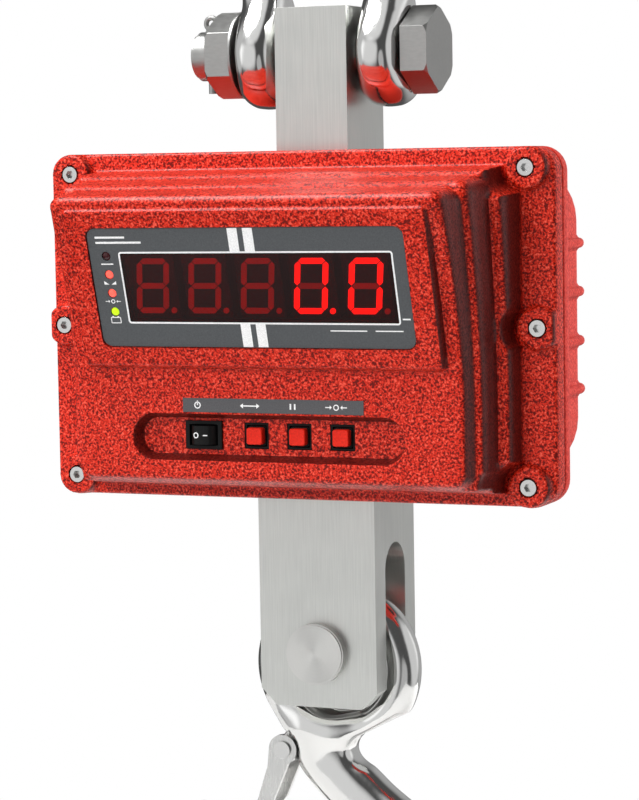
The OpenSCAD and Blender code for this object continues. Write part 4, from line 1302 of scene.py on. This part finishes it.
KEPT = [
    (GROUND, 0.7, ["load_cell"]),
    (ZINC, 0.9, ["shackle_bolt", "shackle_nut"]),
    (ZINC, 0.3, ["shackle_washer", "cotter_pin", "cell_bracket", "bracket_bolts", "battery_strap"]),
    (SCREW_STEEL, 0.25, ["case_screws", "door_screws", "display_screws", "main_board_screws"]),
    (SCREW_STEEL, 0.2, ["pin_washer", "pin_circlip", "latch_pin", "latch_spring", "cap_hinge_pin"]),
    (TURNED, 1.2, ["clevis_pin"]),
    (LATCH_STEEL, 0.8, ["latch"]),
    (RUBBER, 0.3, ["case_gasket", "top_seal", "bottom_seal", "door_gasket", "window_seal"]),
    (ENAMEL_REAR, 0.8, ["battery_door"]),
    (PANEL_GREY, 0.25, ["display_panel"]),
    (LABEL_GREY, 0.1, ["key_label"]),
    (BLACK, 0.3, ["key_frames", "rocker_housing", "rocker", "charge_socket", "socket_cap"]),
    (BOARD, 0.1, ["display_board", "key_board", "main_board"]),
    (CABLE, 0.2, ["cell_cable", "display_cable"]),
    (KEY_RED, 0.2, ["battery_lead"]),
    (BATTERY, 1.5, ["battery"]),
    (PLATE, 0.15, ["rating_plate", "gauge_covers"]),
    (WINDOW, 0.0, ["display_window"]),
    (MODULE, 0.2, [f"digit_{i}" for i in range(1, 6)]),
]
for material, bevel_mm, names in KEPT:
    for name in names:
        keep_node(name, material, bevel_mm)


# ---------------------------------------------------------------- camera, light and floor
def look_camera():
    """The camera: its place and turn about the display, in millimetres and degrees."""
    azimuth, elevation, roll = (math.radians(a) for a in (22.568, 4.842, -0.974))
    target = Vector((-9.17, 0, CASE_Z - 43.9))
    back = Vector((math.sin(azimuth) * math.cos(elevation), -math.cos(azimuth) * math.cos(elevation),
                   math.sin(elevation)))
    side = Vector((math.cos(azimuth), math.sin(azimuth), 0))
    up = back.cross(side)
    right = math.cos(roll) * side + math.sin(roll) * up
    top = math.cos(roll) * up - math.sin(roll) * side
    data = bpy.data.cameras.new("camera")
    data.sensor_width = 36
    data.lens = 124.2
    camera = bpy.data.objects.new("camera", data)
    turn = Matrix((right, top, back)).transposed().to_4x4()
    camera.matrix_world = Matrix.Translation((target + back * 1519.1) * MM) @ turn
    bpy.context.scene.collection.objects.link(camera)
    bpy.context.scene.camera = camera


def area_light(name, place, aim, size, power, mirrored=True):
    """A square softbox at place, turned towards aim; both in metres. Steel shows it only if mirrored."""
    data = bpy.data.lights.new(name, "AREA")
    data.energy = power
    data.size = size
    lamp = bpy.data.objects.new(name, data)
    lamp.location = place
    lamp.rotation_euler = (Vector(place) - Vector(aim)).to_track_quat("Z", "Y").to_euler()
    lamp.visible_glossy = mirrored
    bpy.context.scene.collection.objects.link(lamp)


# Soft panels of the studio: which way each one lies, where its edge starts and ends, and how bright it is
STUDIO_PANELS = [
    ((-0.15, -0.45, 0.88), 0.78, 0.92, 0.85),
    ((-0.90, -0.30, 0.15), 0.78, 0.90, 0.60),
    ((-0.42, -0.90, 0.00), 0.76, 0.94, 0.85),
    ((0.97, 0.22, 0.10), 0.76, 0.90, 0.75),
    ((0.40, 0.92, 0.10), 0.70, 0.96, 0.45),
    ((0.50, -0.80, -0.35), 0.93, 0.97, 0.50),
]


def panel_glow(world, direction, aim, start, full, value):
    """Brightness of one studio panel, by how closely a direction points at it."""
    dot = world.node_tree.nodes.new("ShaderNodeVectorMath")
    dot.operation = "DOT_PRODUCT"
    for socket, vector in zip(dot.inputs, (direction, Vector(aim).normalized())):
        feed(world.node_tree, socket, vector)
    edge = node_of(world, "ShaderNodeMapRange", Value=dot.outputs["Value"], From_Min=start, From_Max=full,
                   To_Max=value)
    edge.interpolation_type = "SMOOTHSTEP"
    return edge.outputs["Result"]


def studio_world():
    """A studio of soft bright panels with dark gaps between them, on a white backdrop."""
    world = bpy.data.worlds.new("studio")
    world.use_nodes = True
    world.node_tree.nodes.clear()
    direction = node_of(world, "ShaderNodeTexCoord").outputs["Generated"]
    total = 0.10
    for panel in STUDIO_PANELS:
        total = math_node(world, "ADD", panel_glow(world, direction, *panel), total)
    studio = node_of(world, "ShaderNodeBackground", Strength=total)
    white = node_of(world, "ShaderNodeBackground", Color=(1, 1, 1, 1))
    seen = node_of(world, "ShaderNodeLightPath").outputs["Is Camera Ray"]
    mix = world.node_tree.nodes.new("ShaderNodeMixShader")
    for socket, value in zip(mix.inputs, (seen, studio.outputs["Background"], white.outputs["Background"])):
        feed(world.node_tree, socket, value)
    node_of(world, "ShaderNodeOutputWorld", Surface=mix.outputs["Shader"])
    bpy.context.scene.world = world


def studio_floor():
    """A small pale floor under the hanging object."""
    lowest = CAD_BOX[0].z - 0.08
    corners = [(x, z, lowest) for x, z in rectangle(1.2, 1.2)]
    mesh = bpy.data.meshes.new("floor")
    mesh.from_pydata(corners, [], [(0, 1, 2, 3)])
    floor = bpy.data.objects.new("floor", mesh)
    floor.data.materials.append(moulded("floor_paint", (0.78, 0.78, 0.77), 0.7, 2.0, 0.02))
    bpy.context.scene.collection.objects.link(floor)


look_camera()
studio_world()
studio_floor()
CASE_CENTRE = (0, -0.05, CASE_Z * MM)
area_light("key", (-0.25, -1.4, 0.40), CASE_CENTRE, 0.8, 15, mirrored=False)
area_light("top", (-0.38, -0.25, 0.65), CASE_CENTRE, 0.5, 10)
area_light("rim", (0.85, 1.05, 0.05), CASE_CENTRE, 0.6, 24, mirrored=False)
bpy.context.scene.view_settings.view_transform = "Standard"
